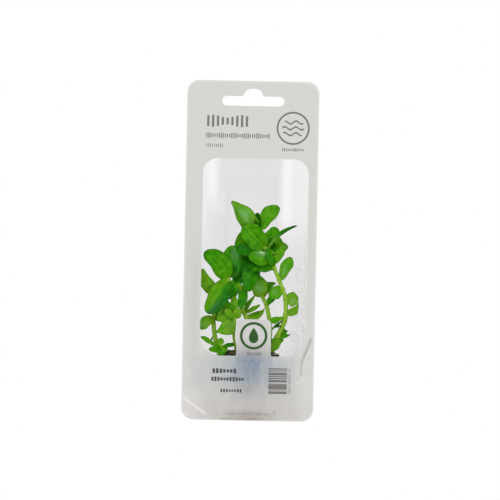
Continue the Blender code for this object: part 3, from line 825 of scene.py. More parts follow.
# %% The code
CODE = Bar(15.9, -154.9, 9.8, 14.4, 0.05)
CODE_STEP = 0.34  # the height of a stripe
CODE_EDGE = 0.1
CODE_ROW = Row(-161.6, 22.1, 13, 1.7, 1.04, 0.62)  # stands upright beside the stripes


def bar_ink(x, z, bar, soft):
    """1 inside a bar with round corners, 0 outside, with a soft edge."""
    sideways = (abs(x - bar.x) - (bar.width / 2 - bar.round)).most(0.0)
    upwards = (abs(z - bar.z) - (bar.height / 2 - bar.round)).most(0.0)
    return within((sideways * sideways + upwards * upwards) ** 0.5, bar.round, soft)


def code_ink(x, z):
    """A block of level stripes. A stripe is inked where a scrambled number is high, as five of six are."""
    stripe = (z / CODE_STEP).whole()
    luck = stripe.node("ShaderNodeTexWhiteNoise", {"noise_dimensions": "1D"}, {"W": stripe}, "Value")
    stripes = bar_ink(x, z, CODE, CODE_EDGE) * luck.ease(0.14, 0.18)
    return stripes.most(row_ink(z, x, CODE_ROW) * 0.6)


print("strokes:", sum(row.count for row in [*HEADER_ROWS, *NAME_ROWS, BADGE_ROW, CODE_ROW]))

# %% [markdown]
# Behind the lower half of the sheet stands the damp pot. Its dark and the tray's cavity's are painted into
# the sheet's colour as a soft shade. The sheet's foot carries soil and stains. Both are worked out like the
# marks, only with much softer edges and with noise in them, and they are mixed over the paper's grey before
# the inks are.

# %% The printed sheet's finish
GREY_PAPER, PALE_CORNER_PAPER, RIM_HIGHLIGHT = (0.665, 0.665, 0.632), (0.80, 0.77, 0.755), (0.86, 0.86, 0.85)
POT_SHADOW, CAVITY_SHADOW = (0.230, 0.278, 0.352), (0.295, 0.280, 0.300)
WARM_STAIN, SOIL = (0.62, 0.55, 0.52), (0.33, 0.29, 0.25)
WET_STREAK, SPECK = (0.22, 0.18, 0.13), (0.36, 0.24, 0.12)
DARK_INK, BLACK_INK = (0.115, 0.105, 0.100), (0.045, 0.045, 0.045)
GREEN_INK, PALE_GREEN_INK = (0.016, 0.088, 0.006), (0.145, 0.185, 0.135)
CREASE_HIGHLIGHT, CREASE_SHADE = (0.86, 0.85, 0.82), (0.38, 0.35, 0.32)
PALE_BACK = (0.72, 0.72, 0.70)
SHADOW_HEIGHT = -149.0  # where the pot's shadow is at its bluest


def crease_mask(x, z, crease):
    """1 along a crease, faded out at its ends and on both sides."""
    along, across = along_line(x, z, crease)
    return across.bell(0.0, crease.width * 0.8) * along.ease(-0.08, 0.15) * along.ease(1.08, 0.8)


def painted_show_through(x, z, low, ripple):
    """How much painted shade lies where the dark behind the sheet would show through: the tray's cavity, the
    pot in it, and the tab.

    The pot is a bell curve about its middle, darkest just below its rim. The ripple streaks it.
    """
    cavity = abs(x).ease(30.5, 22.5) * low * 0.23 + x.bell(-29.0, 2.6) * z.ease(-70.0, -100.0) * 0.14
    tab = abs(x - (TAB_LEFT + TAB_RIGHT) / 2).ease(12.0, 9.0)
    tab = tab * z.ease(-118.0, -124.0) * z.ease(-146.0, -138.0)
    pot = x.bell(1.2, 12.4) * z.ease(-130.0, -145.0) * (z.ease(-167.0, -148.0) * 0.48 + 0.23)
    return cavity + pot + tab * 0.14 + ripple * (low * 0.4 + pot)


def soil_and_rim_highlight(colour, x, z, mottle):
    """The colour with a paler lower left corner, a painted highlight along the outer edge, a warm stain and
    soil at the foot, two wet streaks and a speck.
    """
    # The lower left corner is paler.
    colour = mix(x.ease(-18.0, -32.0) * z.ease(-157.0, -166.0) * 0.5, colour, PALE_CORNER_PAPER)
    # A painted highlight along the sheet's outer edge.
    colour = mix(number_on(x, "rim").ease(1.3, 0.2) * 0.35, colour, RIM_HIGHLIGHT)
    colour = mix(z.ease(-160.0, -170.0) * (0.35 + mottle * 0.5) * 0.4, colour, WARM_STAIN)
    colour = mix(x.bell(0.0, 11.5) * z.ease(-169.0, -172.5) * (0.2 + mottle * 0.6), colour, SOIL)
    upper = z.bell(-172.4, 0.5) * x.ease(-16.0, -8.0) * x.ease(14.5, 10.0)
    lower = z.bell(-175.0, 0.4) * x.ease(-20.0, -12.0) * x.ease(14.0, 6.0)
    colour = mix((upper + lower) * mottle.ease(0.30, 0.62) * 0.45, colour, WET_STREAK)
    return mix(x.bell(14.4, 0.6) * z.bell(-171.2, 1.1) * 0.5, colour, SPECK)


def inked(colour, x, z, mottle):
    """The colour with the header and the emblem, the name, the code and the badge printed on it."""
    dark = all_ink(x, z, HEADER_ROWS).most(ring_ink(x, z, EMBLEM, EMBLEM_RADIUS, EMBLEM_LINE))
    for lift in WAVE_LIFTS:
        dark = dark.most(wave_ink(x, z, lift))
    colour = mix(dark * (0.82 + mottle * 0.12), colour, DARK_INK)
    colour = mix(all_ink(x, z, NAME_ROWS) * (0.9 + mottle * 0.1), colour, BLACK_INK)
    colour = mix(code_ink(x, z) * 0.85, colour, DARK_INK)
    colour = mix(ring_ink(x, z, BADGE, BADGE_RADIUS, BADGE_LINE).most(drop_ink(x, z)), colour, GREEN_INK)
    return mix(row_ink(x, z, BADGE_ROW) * 0.85, colour, PALE_GREEN_INK)


def print_finish():
    """Satin grey ink on the front, with the pot's painted shade, creases with painted shade and highlights,
    and marks, and a plain back.
    """
    finish, shader, place, _ = new_finish("grey_print")
    x, _, z = parts_of(place)
    streaks = noise(place, 5.0, detail=5.0, stretch=(1.0, 1.0, 0.45))
    wrinkles = noise(place, 1.9, detail=5.0, stretch=(1.0, 1.0, 0.4), rough=0.65)
    mottle = noise(place, 1.6)
    low = z.ease(-134.0, -146.0)
    # Painted shade where the pot and the cavity would show through the sheet.
    shade = painted_show_through(x, z, low, (streaks - 0.5) * 0.5 + (wrinkles - 0.5) * 0.6)
    shadow = mix(abs(z - SHADOW_HEIGHT).ease(11.0, 5.0), CAVITY_SHADOW, POT_SHADOW)
    colour = soil_and_rim_highlight(mix(shade, GREY_PAPER, shadow), x, z, mottle)
    # Along each crease, painted shade on a ridge and a painted highlight in a groove.
    for crease in CREASES:
        tint = CREASE_SHADE if crease.rise > 0 else CREASE_HIGHLIGHT
        colour = mix(crease_mask(x, z, crease) * (abs(crease.rise) * 3.2), colour, tint)
    colour = mix(number_on(place, "front"), PALE_BACK, inked(colour, x, z, mottle))
    dress(shader, base_color=colour, roughness=0.36 + streaks * 0.12, ior=1.45,
          normal=bump(wrinkles * (low * 0.8 + 0.05), 0.10))
    return finish


PRINT_SPACING = 0.95  # close enough together for the points to carry the creases
make_sheet("grey_sheet", "printed_sheet", [pack_outline, slot_outline, window_outline], PRINT_SPACING,
           print_relief, print_finish())

# %% [markdown]
# ## The net pot and the wool
#
# The pot is a thin basket of near-black plastic with slots for the roots. Cutting the slots with a
# Boolean leaves long thin faces that shade badly. So the pot is made as one wall: an outer and an
# inner skin on the same grid, where the cells that lie in a slot are left out and their four sides
# are closed. A Bevel modifier then rounds the slots' edges, as moulding does.

# %% The net pot's measures
POT_LOW, POT_HIGH = box_mm("net_pot")
POT_CENTRE = (POT_LOW + POT_HIGH)[:2] / 2
POT_TOP, POT_BOTTOM = POT_HIGH[2], POT_LOW[2]
RIM_INSET = 0.9  # the rim in the photograph is a little narrower than the solid's
RIM_RADIUS = (POT_HIGH - POT_LOW)[0] / 2 - RIM_INSET
RIM_HEIGHT = 1.6
POT_TOP_RADIUS, POT_BOTTOM_RADIUS = 16.2, 13.0
POT_WALL = 0.9
POT_FLOOR = 1.0
POT_SLOTS = 12
UPPER_SLOTS = (-146.0, -154.5)  # their top and bottom
LOWER_SLOTS = (-156.5, -165.0)
BASE_SLOTS = (11.3, 5.0)  # how far out from the pot's axis the floor's slots start and end
SLOT_COLUMNS = 5  # columns of the mesh across a slot, and as many across the bar beside it
MOULDED_EDGE = 0.14  # how wide the bevel on the slots' edges is
POT_SHARP_ANGLE = 35  # in degrees


def pot_radius(height):
    """The outer radius of the pot's wall, which narrows evenly towards the floor."""
    return POT_TOP_RADIUS + (POT_BOTTOM_RADIUS - POT_TOP_RADIUS) * (POT_TOP - height) / (POT_TOP - POT_BOTTOM)


def round_pot(radius, angle, height):
    """Points at a radius and an angle about the pot's axis, the radius times cosine and sine from it."""
    return np.stack(np.broadcast_arrays(POT_CENTRE[0] + radius * np.cos(angle),
                                        POT_CENTRE[1] + radius * np.sin(angle), height), axis=-1)


def turned(radii, heights, columns):
    """Rings round the pot's axis, one for each radius and height."""
    angles = 2 * np.pi * np.arange(columns) / columns
    return round_pot(np.array(radii, dtype=float)[:, None], angles, np.array(heights, dtype=float)[:, None])


# %% The net pot
def make_pot(finish):
    """The pot's wall: two grids of rings, less the cells in the slots, plus the sides of the slots."""
    columns = 2 * SLOT_COLUMNS * POT_SLOTS
    under_rim, floor_top = POT_TOP - RIM_HEIGHT, POT_BOTTOM + POT_FLOOR
    heights = [*UPPER_SLOTS, *LOWER_SLOTS]
    outer_z = [POT_TOP, under_rim, under_rim, *heights, POT_BOTTOM, POT_BOTTOM, POT_BOTTOM]
    outer_r = [RIM_RADIUS, RIM_RADIUS, pot_radius(under_rim), *(pot_radius(z) for z in heights),
               POT_BOTTOM_RADIUS, *BASE_SLOTS]
    inner_z = [POT_TOP, POT_TOP - RIM_HEIGHT / 2, under_rim, *heights, floor_top, floor_top, floor_top]
    inner_r = [*(pot_radius(z) - POT_WALL for z in inner_z[:-2]), *BASE_SLOTS]
    skins = [turned(outer_r, outer_z, columns), turned(inner_r, inner_z, columns)]
    points = np.concatenate(skins).reshape(-1, 3)
    rows = len(outer_z)
    upper, lower, base = outer_z.index(UPPER_SLOTS[0]), outer_z.index(LOWER_SLOTS[0]), rows - 2
    slotted = np.zeros((rows - 1, columns), dtype=bool)
    slotted[[upper, lower, base]] = np.arange(columns) % (2 * SLOT_COLUMNS) >= SLOT_COLUMNS
    outer = np.arange(rows * columns).reshape(rows, columns)
    inner = outer + rows * columns
    solid = ~slotted
    faces = []
    for skin, order in ((outer, -1), (inner, 1)):
        onward = np.roll(skin, -1, axis=1)
        quads = np.stack([skin[:-1], onward[:-1], onward[1:], skin[1:]], axis=-1)
        faces.append(quads[solid][:, ::order])
    ahead = np.roll(solid, -1, axis=1)
    right = np.roll(outer, -1, axis=1), np.roll(inner, -1, axis=1)
    for mask, order in ((solid & ~ahead, 1), (~solid & ahead, -1)):
        side = np.stack([right[0][:-1], right[0][1:], right[1][1:], right[1][:-1]], axis=-1)
        faces.append(side[mask][:, ::-order])
    for mask, order in ((solid[:-1] & ~solid[1:], 1), (~solid[:-1] & solid[1:], -1)):
        sill = np.stack([outer[1:-1], inner[1:-1], right[1][1:-1], right[0][1:-1]], axis=-1)
        faces.append(sill[mask][:, ::-order])
    top = np.stack([outer[0], right[0][0], right[1][0], inner[0]], axis=-1)
    faces += [top, outer[-1:, ::-1], inner[-1:]]
    piece = make_piece("net_basket", points, faces, finish, stands_for=("net_pot",),
                       sharp=POT_SHARP_ANGLE)
    bevel = piece.modifiers.new("moulded_edges", "BEVEL")
    bevel.width = MOULDED_EDGE * MM
    bevel.segments = 2
    bevel.limit_method = "ANGLE"
    bevel.angle_limit = math.radians(SHARP_ANGLE)
    print("pot:", len(piece.data.polygons), "faces before its bevel")


# %% The pot's finish
POT_DARK, POT_PALE = (0.018, 0.019, 0.015), (0.052, 0.052, 0.040)


def pot_finish():
    """Near-black recycled plastic, satin, with faint flow marks."""
    finish, shader, place, _ = new_finish("pot_plastic")
    flow = noise(place, 3.0, detail=4.0, stretch=(1.0, 1.0, 0.4))
    grain = noise(place, 0.35, detail=2.0)
    dress(shader, base_color=mix(flow, POT_DARK, POT_PALE), roughness=0.38 + flow * 0.2,
          normal=bump(grain, 0.03))
    return finish


make_pot(pot_finish())

# %% [markdown]
# The wool plug fills the pot. Mineral wool is a felt of fine fibres, and here it is soaked and green
# with algae. A hair system could grow such fibres, but only a mesh can be handed on. The body is a
# turned form whose skin is pushed in and out by noise. On its top lies a tangle of loose fibres,
# which also hang over the pot's rim, each a thin three-sided tube along a curved line.

# %% Lumps for the wool
LUMP_OCTAVES, LUMP_WAVES = 4, 5  # how many sizes of waves, and how many waves of each size
LUMP_STRENGTH = 2.2  # waves in random directions seldom add up, so their sum is raised by this much


def lumps(points, size, seed):
    """Smooth noise, mostly from -1 to 1: a sum of sine waves in random directions, shorter ones weaker."""
    random = np.random.default_rng(seed)
    total = np.zeros(points.shape[:-1])
    weight = 0.0
    for octave in range(LUMP_OCTAVES):
        for _ in range(LUMP_WAVES):
            way = random.normal(size=3)
            way /= np.linalg.norm(way)
            phase = random.uniform(0, 2 * np.pi)
            total += np.sin(points @ way * 2**octave * 2 * np.pi / size + phase) / 2**octave
        weight += LUMP_WAVES / 2**octave
    return total / weight * LUMP_STRENGTH


# %% The wool plug
WOOL_TOP = box_mm("wool_plug")[1][2]
WOOL_COLUMNS = 96
WOOL_EDGE = 1.2  # the radius of the rounding between its top and its side
WOOL_HOLE = 0.15  # the radius of the smallest ring, which one face closes
WOOL_SHRINK = 0.22  # how far its skin lies inside the plain plug, less its lumps
WOOL_LUMPS = [(5.0, 3, 0.30), (1.6, 4, 0.14)]  # size, seed and height
TOP_RINGS, EDGE_RINGS, SIDE_RINGS, BOTTOM_RINGS = 26, 5, 23, 7


def make_wool(finish):
    """A plug: rings out across its top, over its edge, down its side and in across its bottom."""
    edge = pot_radius(POT_TOP) - POT_WALL - GAP
    bottom = POT_BOTTOM + POT_FLOOR + GAP
    foot = pot_radius(bottom) - POT_WALL - GAP
    over = np.radians(np.linspace(0, 90, EDGE_RINGS + 1))[1:]
    radii = [*np.linspace(WOOL_HOLE, edge - WOOL_EDGE, TOP_RINGS),
             *(edge - WOOL_EDGE + WOOL_EDGE * np.sin(over)),
             *np.linspace(edge, foot, SIDE_RINGS + 1)[1:],
             *np.linspace(foot, WOOL_HOLE, BOTTOM_RINGS + 1)[1:]]
    heights = [*np.full(TOP_RINGS, WOOL_TOP), *(WOOL_TOP - WOOL_EDGE + WOOL_EDGE * np.cos(over)),
               *np.linspace(WOOL_TOP - WOOL_EDGE, bottom, SIDE_RINGS + 1)[1:], *np.full(BOTTOM_RINGS, bottom)]
    rings = turned(radii, heights, WOOL_COLUMNS)
    rough = sum(lumps(rings, size, seed) * height for size, seed, height in WOOL_LUMPS)
    outward = rings - np.array([*POT_CENTRE, (WOOL_TOP + bottom) / 2])
    outward /= np.linalg.norm(outward, axis=-1, keepdims=True)
    rings = rings - outward * (WOOL_SHRINK - rough)[..., None]
    make_piece("wool_body", rings.reshape(-1, 3), closed_tube(len(radii), WOOL_COLUMNS), finish,
               stands_for=("wool_plug",))


# %% Loose fibres
FIBRES, HANGING_FIBRES = 900, 1500  # on the wool's top, and over the pot's rim
FIBRE_STEPS = 6
FIBRE_RADIUS = 0.07
FIBRE_MARGIN = 1.4  # how far the fibres on top keep from the pot's wall
HANGING_START = 2.2  # how far inside the rim the hanging fibres start
FIBRE_SIDES = 3
FIBRE_ASIDE = (0.31, 0.17, 0.93)  # a direction that no fibre follows exactly
FIBRE_SEED = 11


def hanging_fibres(random):
    """Fibres that come over the pot's rim: outwards first, then down, each a quarter turn of an arc."""
    share = np.linspace(0, 1, FIBRE_STEPS)
    angle = random.uniform(0, 2 * np.pi, HANGING_FIBRES)[:, None]
    drop = random.uniform(0.4, 2.4, HANGING_FIBRES)[:, None]
    stand_off = random.uniform(0.06, 0.34, HANGING_FIBRES)[:, None]
    slant = random.uniform(-0.10, 0.10, HANGING_FIBRES)[:, None]
    start = RIM_RADIUS - HANGING_START
    radius = start + (RIM_RADIUS + stand_off - start) * np.sin(share * np.pi / 2)
    height = POT_TOP + stand_off * 0.5 - (drop + stand_off) * (1 - np.cos(share * np.pi / 2))
    return round_pot(radius, angle + slant * share, height)


def lying_fibres(random):
    """Short arcs that lie across the wool's top in all directions, each a small hump over it."""
    reach = pot_radius(POT_TOP) - POT_WALL - GAP - FIBRE_MARGIN
    distance = reach * np.sqrt(random.uniform(0, 1, FIBRES))
    angle = random.uniform(0, 2 * np.pi, FIBRES)
    heading = random.uniform(0, 2 * np.pi, FIBRES)
    bend = random.uniform(-1.2, 1.2, FIBRES)
    length = random.uniform(1.5, 4.0, FIBRES)
    share = np.linspace(-0.5, 0.5, FIBRE_STEPS)
    way = heading[:, None] + bend[:, None] * share
    x = (distance * np.cos(angle))[:, None] + length[:, None] * share * np.cos(way)
    y = (distance * np.sin(angle))[:, None] + length[:, None] * share * np.sin(way)
    hump = 1 - (2 * share) ** 2
    height = WOOL_TOP - 0.15 + random.uniform(0.05, 0.75, FIBRES)[:, None] * hump
    return round_pot(np.minimum(np.hypot(x, y), reach), np.arctan2(y, x), height)


def make_fibres(finish):
    """All the fibres as one piece, each thinner towards its ends."""
    random = np.random.default_rng(FIBRE_SEED)
    lines = np.concatenate([lying_fibres(random), hanging_fibres(random)])
    radii = FIBRE_RADIUS * (1 - 0.6 * np.abs(np.linspace(-1, 1, FIBRE_STEPS)))
    points = carried_along(lines, round_profile(radii, FIBRE_SIDES), FIBRE_ASIDE).reshape(-1, 3)
    starts = (np.arange(len(lines)) * FIBRE_STEPS * FIBRE_SIDES)[:, None, None]
    faces = [(block + starts).reshape(-1, block.shape[1]) for block in closed_tube(FIBRE_STEPS, FIBRE_SIDES)]
    make_piece("wool_fibres", points, faces, finish)
    print("fibres:", len(lines), "with", sum(map(len, faces)), "faces")


# %% The wool and its finish
WOOL_DARK, WOOL_PALE, ALGAE = (0.018, 0.016, 0.004), (0.22, 0.200, 0.060), (0.050, 0.085, 0.006)


def wool_finish():
    """Wet brown wool, patched green by algae."""
    finish, shader, place, _ = new_finish("wet_wool")
    green = noise(place, 4.5, detail=4.0).ease(0.42, 0.62)
    fine = noise(place, 0.6, detail=5.0, rough=0.7)
    colour = mix(green * 0.5, mix(fine, WOOL_DARK, WOOL_PALE), ALGAE)
    dress(shader, base_color=colour, roughness=0.62 + fine * 0.3, normal=bump(fine, 0.35))
    return finish


wool_paint = wool_finish()
make_wool(wool_paint)
make_fibres(wool_paint)

# %% [markdown]
# ## The stems
#
# Six stems grow from the wool. A curve object with a round bevel would give plain tubes, but the
# real stem is swollen where a pair of leaves grows from it, and a little fluted. So each stem is a
# profile carried along a smooth curve through a few places, and its radius is a function of how far
# along it is. The leaves need the curves to know where they grow, so the curves come first.

# %% The stems' routes
Stem = namedtuple("Stem", "foot_radius tip_radius route")
STEM_FOOT = WOOL_TOP + GAP
JOINT_STEP = 0.75  # how finely a stem is searched for the place where a leaf grows
FRONT = np.array([0.0, -1.0, 0.0])

STEMS = {
    "right": Stem(1.25, 0.80, [
        (12.9, 15.5, STEM_FOOT), (13.7, 14.6, -135.5), (16.0, 13.4, -130.0), (18.4, 12.4, -125.0),
        (19.5, 11.7, -119.5), (19.5, 11.3, -114.0), (18.9, 11.0, -109.5), (17.2, 11.0, -105.0),
        (15.2, 11.0, -100.0), (13.0, 11.1, -95.0), (11.4, 11.2, -90.5), (9.4, 11.3, -86.5),
        (7.4, 11.4, -83.2),
    ]),
    "middle": Stem(1.10, 0.85, [
        (10.3, 21.5, STEM_FOOT), (11.3, 21.0, -133.0), (11.5, 20.5, -127.0), (10.5, 20.0, -120.3),
        (9.3, 19.4, -115.0), (7.2, 18.8, -110.8), (6.1, 18.4, -106.5), (4.8, 18.4, -100.0),
        (3.6, 18.6, -94.0),
    ]),
    "tall": Stem(1.05, 0.75, [
        (0.5, 21.0, STEM_FOOT), (0.8, 20.8, -133.0), (0.2, 20.2, -127.0), (-1.5, 19.6, -121.8),
        (-3.6, 19.0, -117.5), (-4.2, 18.6, -113.5), (-3.6, 18.2, -108.5), (-1.0, 17.8, -101.5),
        (1.4, 17.5, -95.5), (3.0, 17.2, -89.5), (3.7, 17.0, -81.0), (4.3, 17.0, -72.8),
    ]),
    "left": Stem(1.15, 0.90, [
        (-14.2, 17.5, STEM_FOOT), (-16.0, 16.4, -137.6), (-17.5, 15.2, -134.4), (-18.4, 14.5, -130.0),
        (-19.0, 14.0, -123.0), (-18.4, 13.4, -119.0), (-16.9, 12.4, -114.0), (-14.6, 11.4, -108.0),
        (-12.6, 10.8, -104.0), (-10.8, 10.4, -100.6),
    ]),
    "short": Stem(0.70, 0.55, [
        (-6.4, 11.5, STEM_FOOT), (-7.3, 11.0, -136.0), (-7.9, 10.4, -132.0), (-7.8, 10.0, -128.0),
        (-7.4, 9.8, -124.0), (-7.6, 9.8, -118.8),
    ]),
    "low": Stem(0.85, 0.70, [
        (-11.6, 10.6, STEM_FOOT), (-13.3, 9.2, -138.3), (-15.0, 8.0, -136.0),
    ]),
}


def smooth_route(route, step):
    """Points along a smooth curve through the places, about one step apart.

    Between two places the curve is the cubic whose slopes at them are those of the lines that join
    their neighbours.
    """
    places = np.array(route, dtype=float)
    slopes = np.gradient(places, axis=0)
    stretches = []
    for here, there, leaving, arriving in zip(places[:-1], places[1:], slopes[:-1], slopes[1:]):
        count = max(1, round(np.linalg.norm(there - here) / step))
        t = (np.arange(count) / count)[:, None]
        stretches.append((2 * t**3 - 3 * t**2 + 1) * here + (t**3 - 2 * t**2 + t) * leaving
                         + (3 * t**2 - 2 * t**3) * there + (t**3 - t**2) * arriving)
    return np.concatenate([*stretches, places[-1:]])


def stem_at(stem, height):
    """The stem's centre, direction and radius where it passes a height."""
    line = smooth_route(stem.route, JOINT_STEP)
    index = int(np.argmin(np.abs(line[:, 2] - height)))
    tangent = np.gradient(line, axis=0)[index]
    radii = np.linspace(stem.foot_radius, stem.tip_radius, len(line))
    return line[index], tangent / np.linalg.norm(tangent), radii[index]


# %% [markdown]
# ## The leaves
#
# The leaves are thick, oval and a little folded along the midrib, and each is turned its own way. One
# leaf copied many times would look like a toy, and a picture of a leaf on a flat square has no
# thickness. So a table says how each leaf differs, and one function shapes them all.
#
# A leaf is a grid with two directions: share runs from its foot to its tip, across runs from one
# edge to the other. The midrib is a gentle arch between foot and tip, each half rises from it like
# a shallow roof, and the outline is a fuller kind of ellipse. A lower skin a little behind the upper
# one gives the leaf its thickness.

# %% The leaves' table
# The tones are partly each leaf's own green and partly painted light and shade, set to how lit each leaf
# looks among the others.
PALE, BRIGHT, FRESH, DEEP, SHADE = 1.0, 0.75, 0.5, 0.25, 0.0  # how light a green a leaf is


class Leaf(NamedTuple):
    """One leaf. Angles are in degrees."""

    name: str
    stem: str
    height: float  # where on the stem it grows
    tip: tuple  # the place of its tip: x, depth and height
    width: float
    tone: float = FRESH
    roll: float = 0  # turns the upper face away from the front
    twist: float = 0  # is added to the roll on the way to the tip
    arch: float = 0.05  # lifts the midrib's middle towards the upper face, as a share of the length
    sweep: float = 0.0  # moves the midrib's middle sideways, as a share of the length
    fold: float = 14  # how far each half rises from the midrib
    taper: float = 0.0  # narrows the outer half, or the inner one where it is negative
    # The first number of lighter is painted light and shade: one half of a folded leaf lighter, the other
    # darker.
    lighter: tuple = (0.0, 0.0)  # how much lighter one side is than the other, and the tip than the foot
    # The sheen is a painted highlight: a pale patch in the leaf's colour, with a glossier coat there.
    sheen: tuple = (0.0, 0.5, 0.5)  # a patch of pale gloss: how strong, its place across and along


LEAVES = [
    Leaf("leaf_crown_left", "tall", -73.0, (-10.8, 12.6, -60.1), 10.2, 0.84, roll=-26, twist=90, sweep=-0.06,
         sheen=(0.95, 0.55, 0.5)),
    Leaf("leaf_crown_right", "tall", -73.2, (14.8, 21.6, -61.8), 7.5, BRIGHT, roll=8, sweep=-0.08, fold=8),
    Leaf("leaf_crown_bud", "tall", -73.3, (3.4, 19.2, -65.4), 3.1, SHADE, fold=24),
    Leaf("leaf_crown_behind", "tall", -79.3, (-8.4, 12.6, -83.2), 9.4, BRIGHT, roll=-14, sweep=0.12),
    Leaf("leaf_tall_back", "tall", -84.0, (0.6, 27.0, -76.0), 8.0, roll=150),
    Leaf("leaf_tall_drooping", "tall", -92.0, (-0.9, 12.6, -107.8), 9.4, 0.4, roll=20, fold=18),
    Leaf("leaf_tall_hanging", "tall", -106.4, (-4.6, 13.0, -117.0), 4.8, 0.45, fold=24),
    Leaf("leaf_tall_needle", "tall", -118.6, (3.3, 18.0, -109.4), 4.4, 0.9, roll=-60, arch=0.0, taper=0.7),
    Leaf("leaf_tall_blade", "tall", -119.4, (5.8, 15.8, -115.1), 4.4, PALE, roll=-64, arch=-0.08, sweep=0.06),
    Leaf("leaf_tall_lowest", "tall", -121.9, (8.5, 15.4, -115.5), 5.2, PALE, roll=-46, arch=-0.18,
         sweep=0.22, taper=0.95),
    Leaf("leaf_right_top", "right", -83.6, (-3.8, 8.8, -72.2), 11.4, 0.65, fold=16),
    Leaf("leaf_right_top_back", "right", -83.4, (14.2, 18.6, -73.5), 6.6, 0.65),
    Leaf("leaf_right_needle", "right", -85.8, (24.6, 5.6, -72.1), 3.4, 0.6, roll=-60, arch=0.13, sweep=-0.10,
         lighter=(0.0, -1.3), sheen=(0.7, 0.5, 0.3)),
    Leaf("leaf_right_shaded", "right", -85.4, (-7.8, 9.4, -85.6), 7.8, DEEP, roll=22),
    Leaf("leaf_right_pointing", "right", -85.2, (20.2, 15.0, -83.3), 7.4, PALE, roll=-22, taper=0.35,
         sheen=(0.8, 0.5, 0.8)),
    Leaf("leaf_right_glossy", "right", -90.6, (-0.8, 5.4, -88.0), 7.6, 0.65, roll=-12,
         sheen=(1.3, 0.85, 0.5)),
    Leaf("leaf_right_upright", "right", -92.8, (13.4, 12.8, -77.6), 7.8, BRIGHT, roll=-16, sweep=0.08,
         fold=4),
    Leaf("leaf_right_level", "right", -94.8, (1.3, 8.8, -96.5), 8.0, roll=60),
    Leaf("leaf_right_speckled", "right", -101.2, (21.9, 9.6, -88.9), 6.3, 0.8, sweep=-0.02, taper=-0.4,
         sheen=(0.6, 0.5, 0.35)),
    Leaf("leaf_right_inner", "right", -106.0, (10.3, 7.4, -109.9), 6.4, BRIGHT, roll=-10,
         sheen=(0.4, 0.6, 0.5)),
    Leaf("leaf_right_round", "right", -111.6, (26.2, 10.0, -110.9), 7.0, PALE, sheen=(0.4, 0.6, 0.5)),
    Leaf("leaf_right_curved", "right", -119.8, (26.5, 9.0, -112.4), 3.9, PALE, sweep=0.15, taper=1.0),
    Leaf("leaf_right_low_inner", "right", -121.1, (11.0, 8.6, -123.9), 4.8, BRIGHT, roll=40, sweep=-0.03,
         taper=-0.75),
    Leaf("leaf_right_low_thin", "right", -122.8, (12.3, 14.0, -128.0), 2.6, roll=76, arch=0.20),
    Leaf("leaf_right_foot_front", "right", -131.8, (14.0, 8.2, -138.7), 4.6, 0.9),
    Leaf("leaf_right_foot_outer", "right", -132.0, (19.3, 19.0, -127.4), 4.0, BRIGHT, fold=8),
    Leaf("leaf_middle_pale", "middle", -109.8, (3.2, 16.0, -99.0), 8.6, PALE, lighter=(0.0, -0.4),
         sheen=(0.9, 0.45, 0.4)),
    Leaf("leaf_middle_arched", "middle", -109.8, (13.9, 20.6, -102.9), 4.4, BRIGHT, sweep=-0.20, taper=0.4),
    Leaf("leaf_middle_narrow", "middle", -114.6, (14.6, 14.8, -109.9), 4.4, FRESH, roll=-46),
    Leaf("leaf_middle_top_left", "middle", -94.6, (-4.4, 23.6, -89.0), 6.6, DEEP, roll=165),
    Leaf("leaf_middle_top_right", "middle", -94.8, (9.8, 22.6, -87.6), 6.4, DEEP, roll=195),
    Leaf("leaf_left_large", "left", -101.0, (-23.7, 5.6, -86.3), 10.6, 0.6, roll=-8, sweep=0.11,
         fold=10),
    Leaf("leaf_left_behind", "left", -100.6, (-8.7, 16.6, -83.4), 10.6, 0.36, fold=6, lighter=(0.0, 0.6),
         sheen=(0.8, 0.66, 0.84)),
    Leaf("leaf_left_hanging", "left", -101.8, (-22.3, 4.8, -119.6), 11.8, roll=-8, fold=24,
         lighter=(0.6, -0.1), sheen=(0.15, 0.4, 0.85)),
    Leaf("leaf_left_shaded", "left", -102.2, (-9.2, 13.4, -111.8), 8.0, 0.45, roll=-24),
    Leaf("leaf_left_edge", "left", -109.2, (-25.9, 6.0, -96.3), 6.5, PALE, sweep=-0.14),
    Leaf("leaf_left_low_outer", "left", -121.9, (-25.8, 8.6, -128.1), 5.3, PALE, sweep=0.08,
         sheen=(0.4, 0.4, 0.7)),
    Leaf("leaf_left_low_inner", "left", -122.4, (-11.8, 17.8, -119.4), 4.8, BRIGHT, roll=20),
    Leaf("leaf_short_upright", "short", -119.6, (-8.3, 12.0, -110.2), 3.6, BRIGHT, roll=10),
    Leaf("leaf_short_side", "short", -119.4, (-15.2, 9.6, -115.5), 3.0, BRIGHT, roll=30),
    Leaf("leaf_short_front_right", "short", -122.0, (-5.4, 6.6, -116.6), 4.4, PALE),
    Leaf("leaf_short_front_left", "short", -121.8, (-13.0, 5.4, -117.8), 3.8, BRIGHT, roll=24),
    Leaf("leaf_short_hanging", "short", -124.2, (-17.5, 7.0, -129.6), 8.4, PALE, roll=-4, sweep=-0.08,
         taper=0.75, lighter=(0.0, -1.0), sheen=(0.4, 0.5, 0.25)),
    Leaf("leaf_low_left", "low", -137.8, (-25.4, 5.0, -132.2), 3.6, BRIGHT, roll=48, arch=0.02, sweep=-0.02,
         taper=-0.8),
    Leaf("leaf_low_upright", "low", -136.9, (-15.2, 9.6, -132.8), 2.9, BRIGHT),
    Leaf("leaf_low_right", "low", -137.4, (-7.4, 6.0, -136.4), 4.2, DEEP, roll=-60, arch=0.06, taper=-0.4),
    Leaf("leaf_low_outer", "low", -137.9, (-21.0, 3.6, -138.8), 3.1, BRIGHT),
    Leaf("leaf_low_front", "low", -138.2, (-14.6, 3.6, -141.6), 3.4, FRESH, fold=10, sheen=(0.5, 0.5, 0.4)),
]
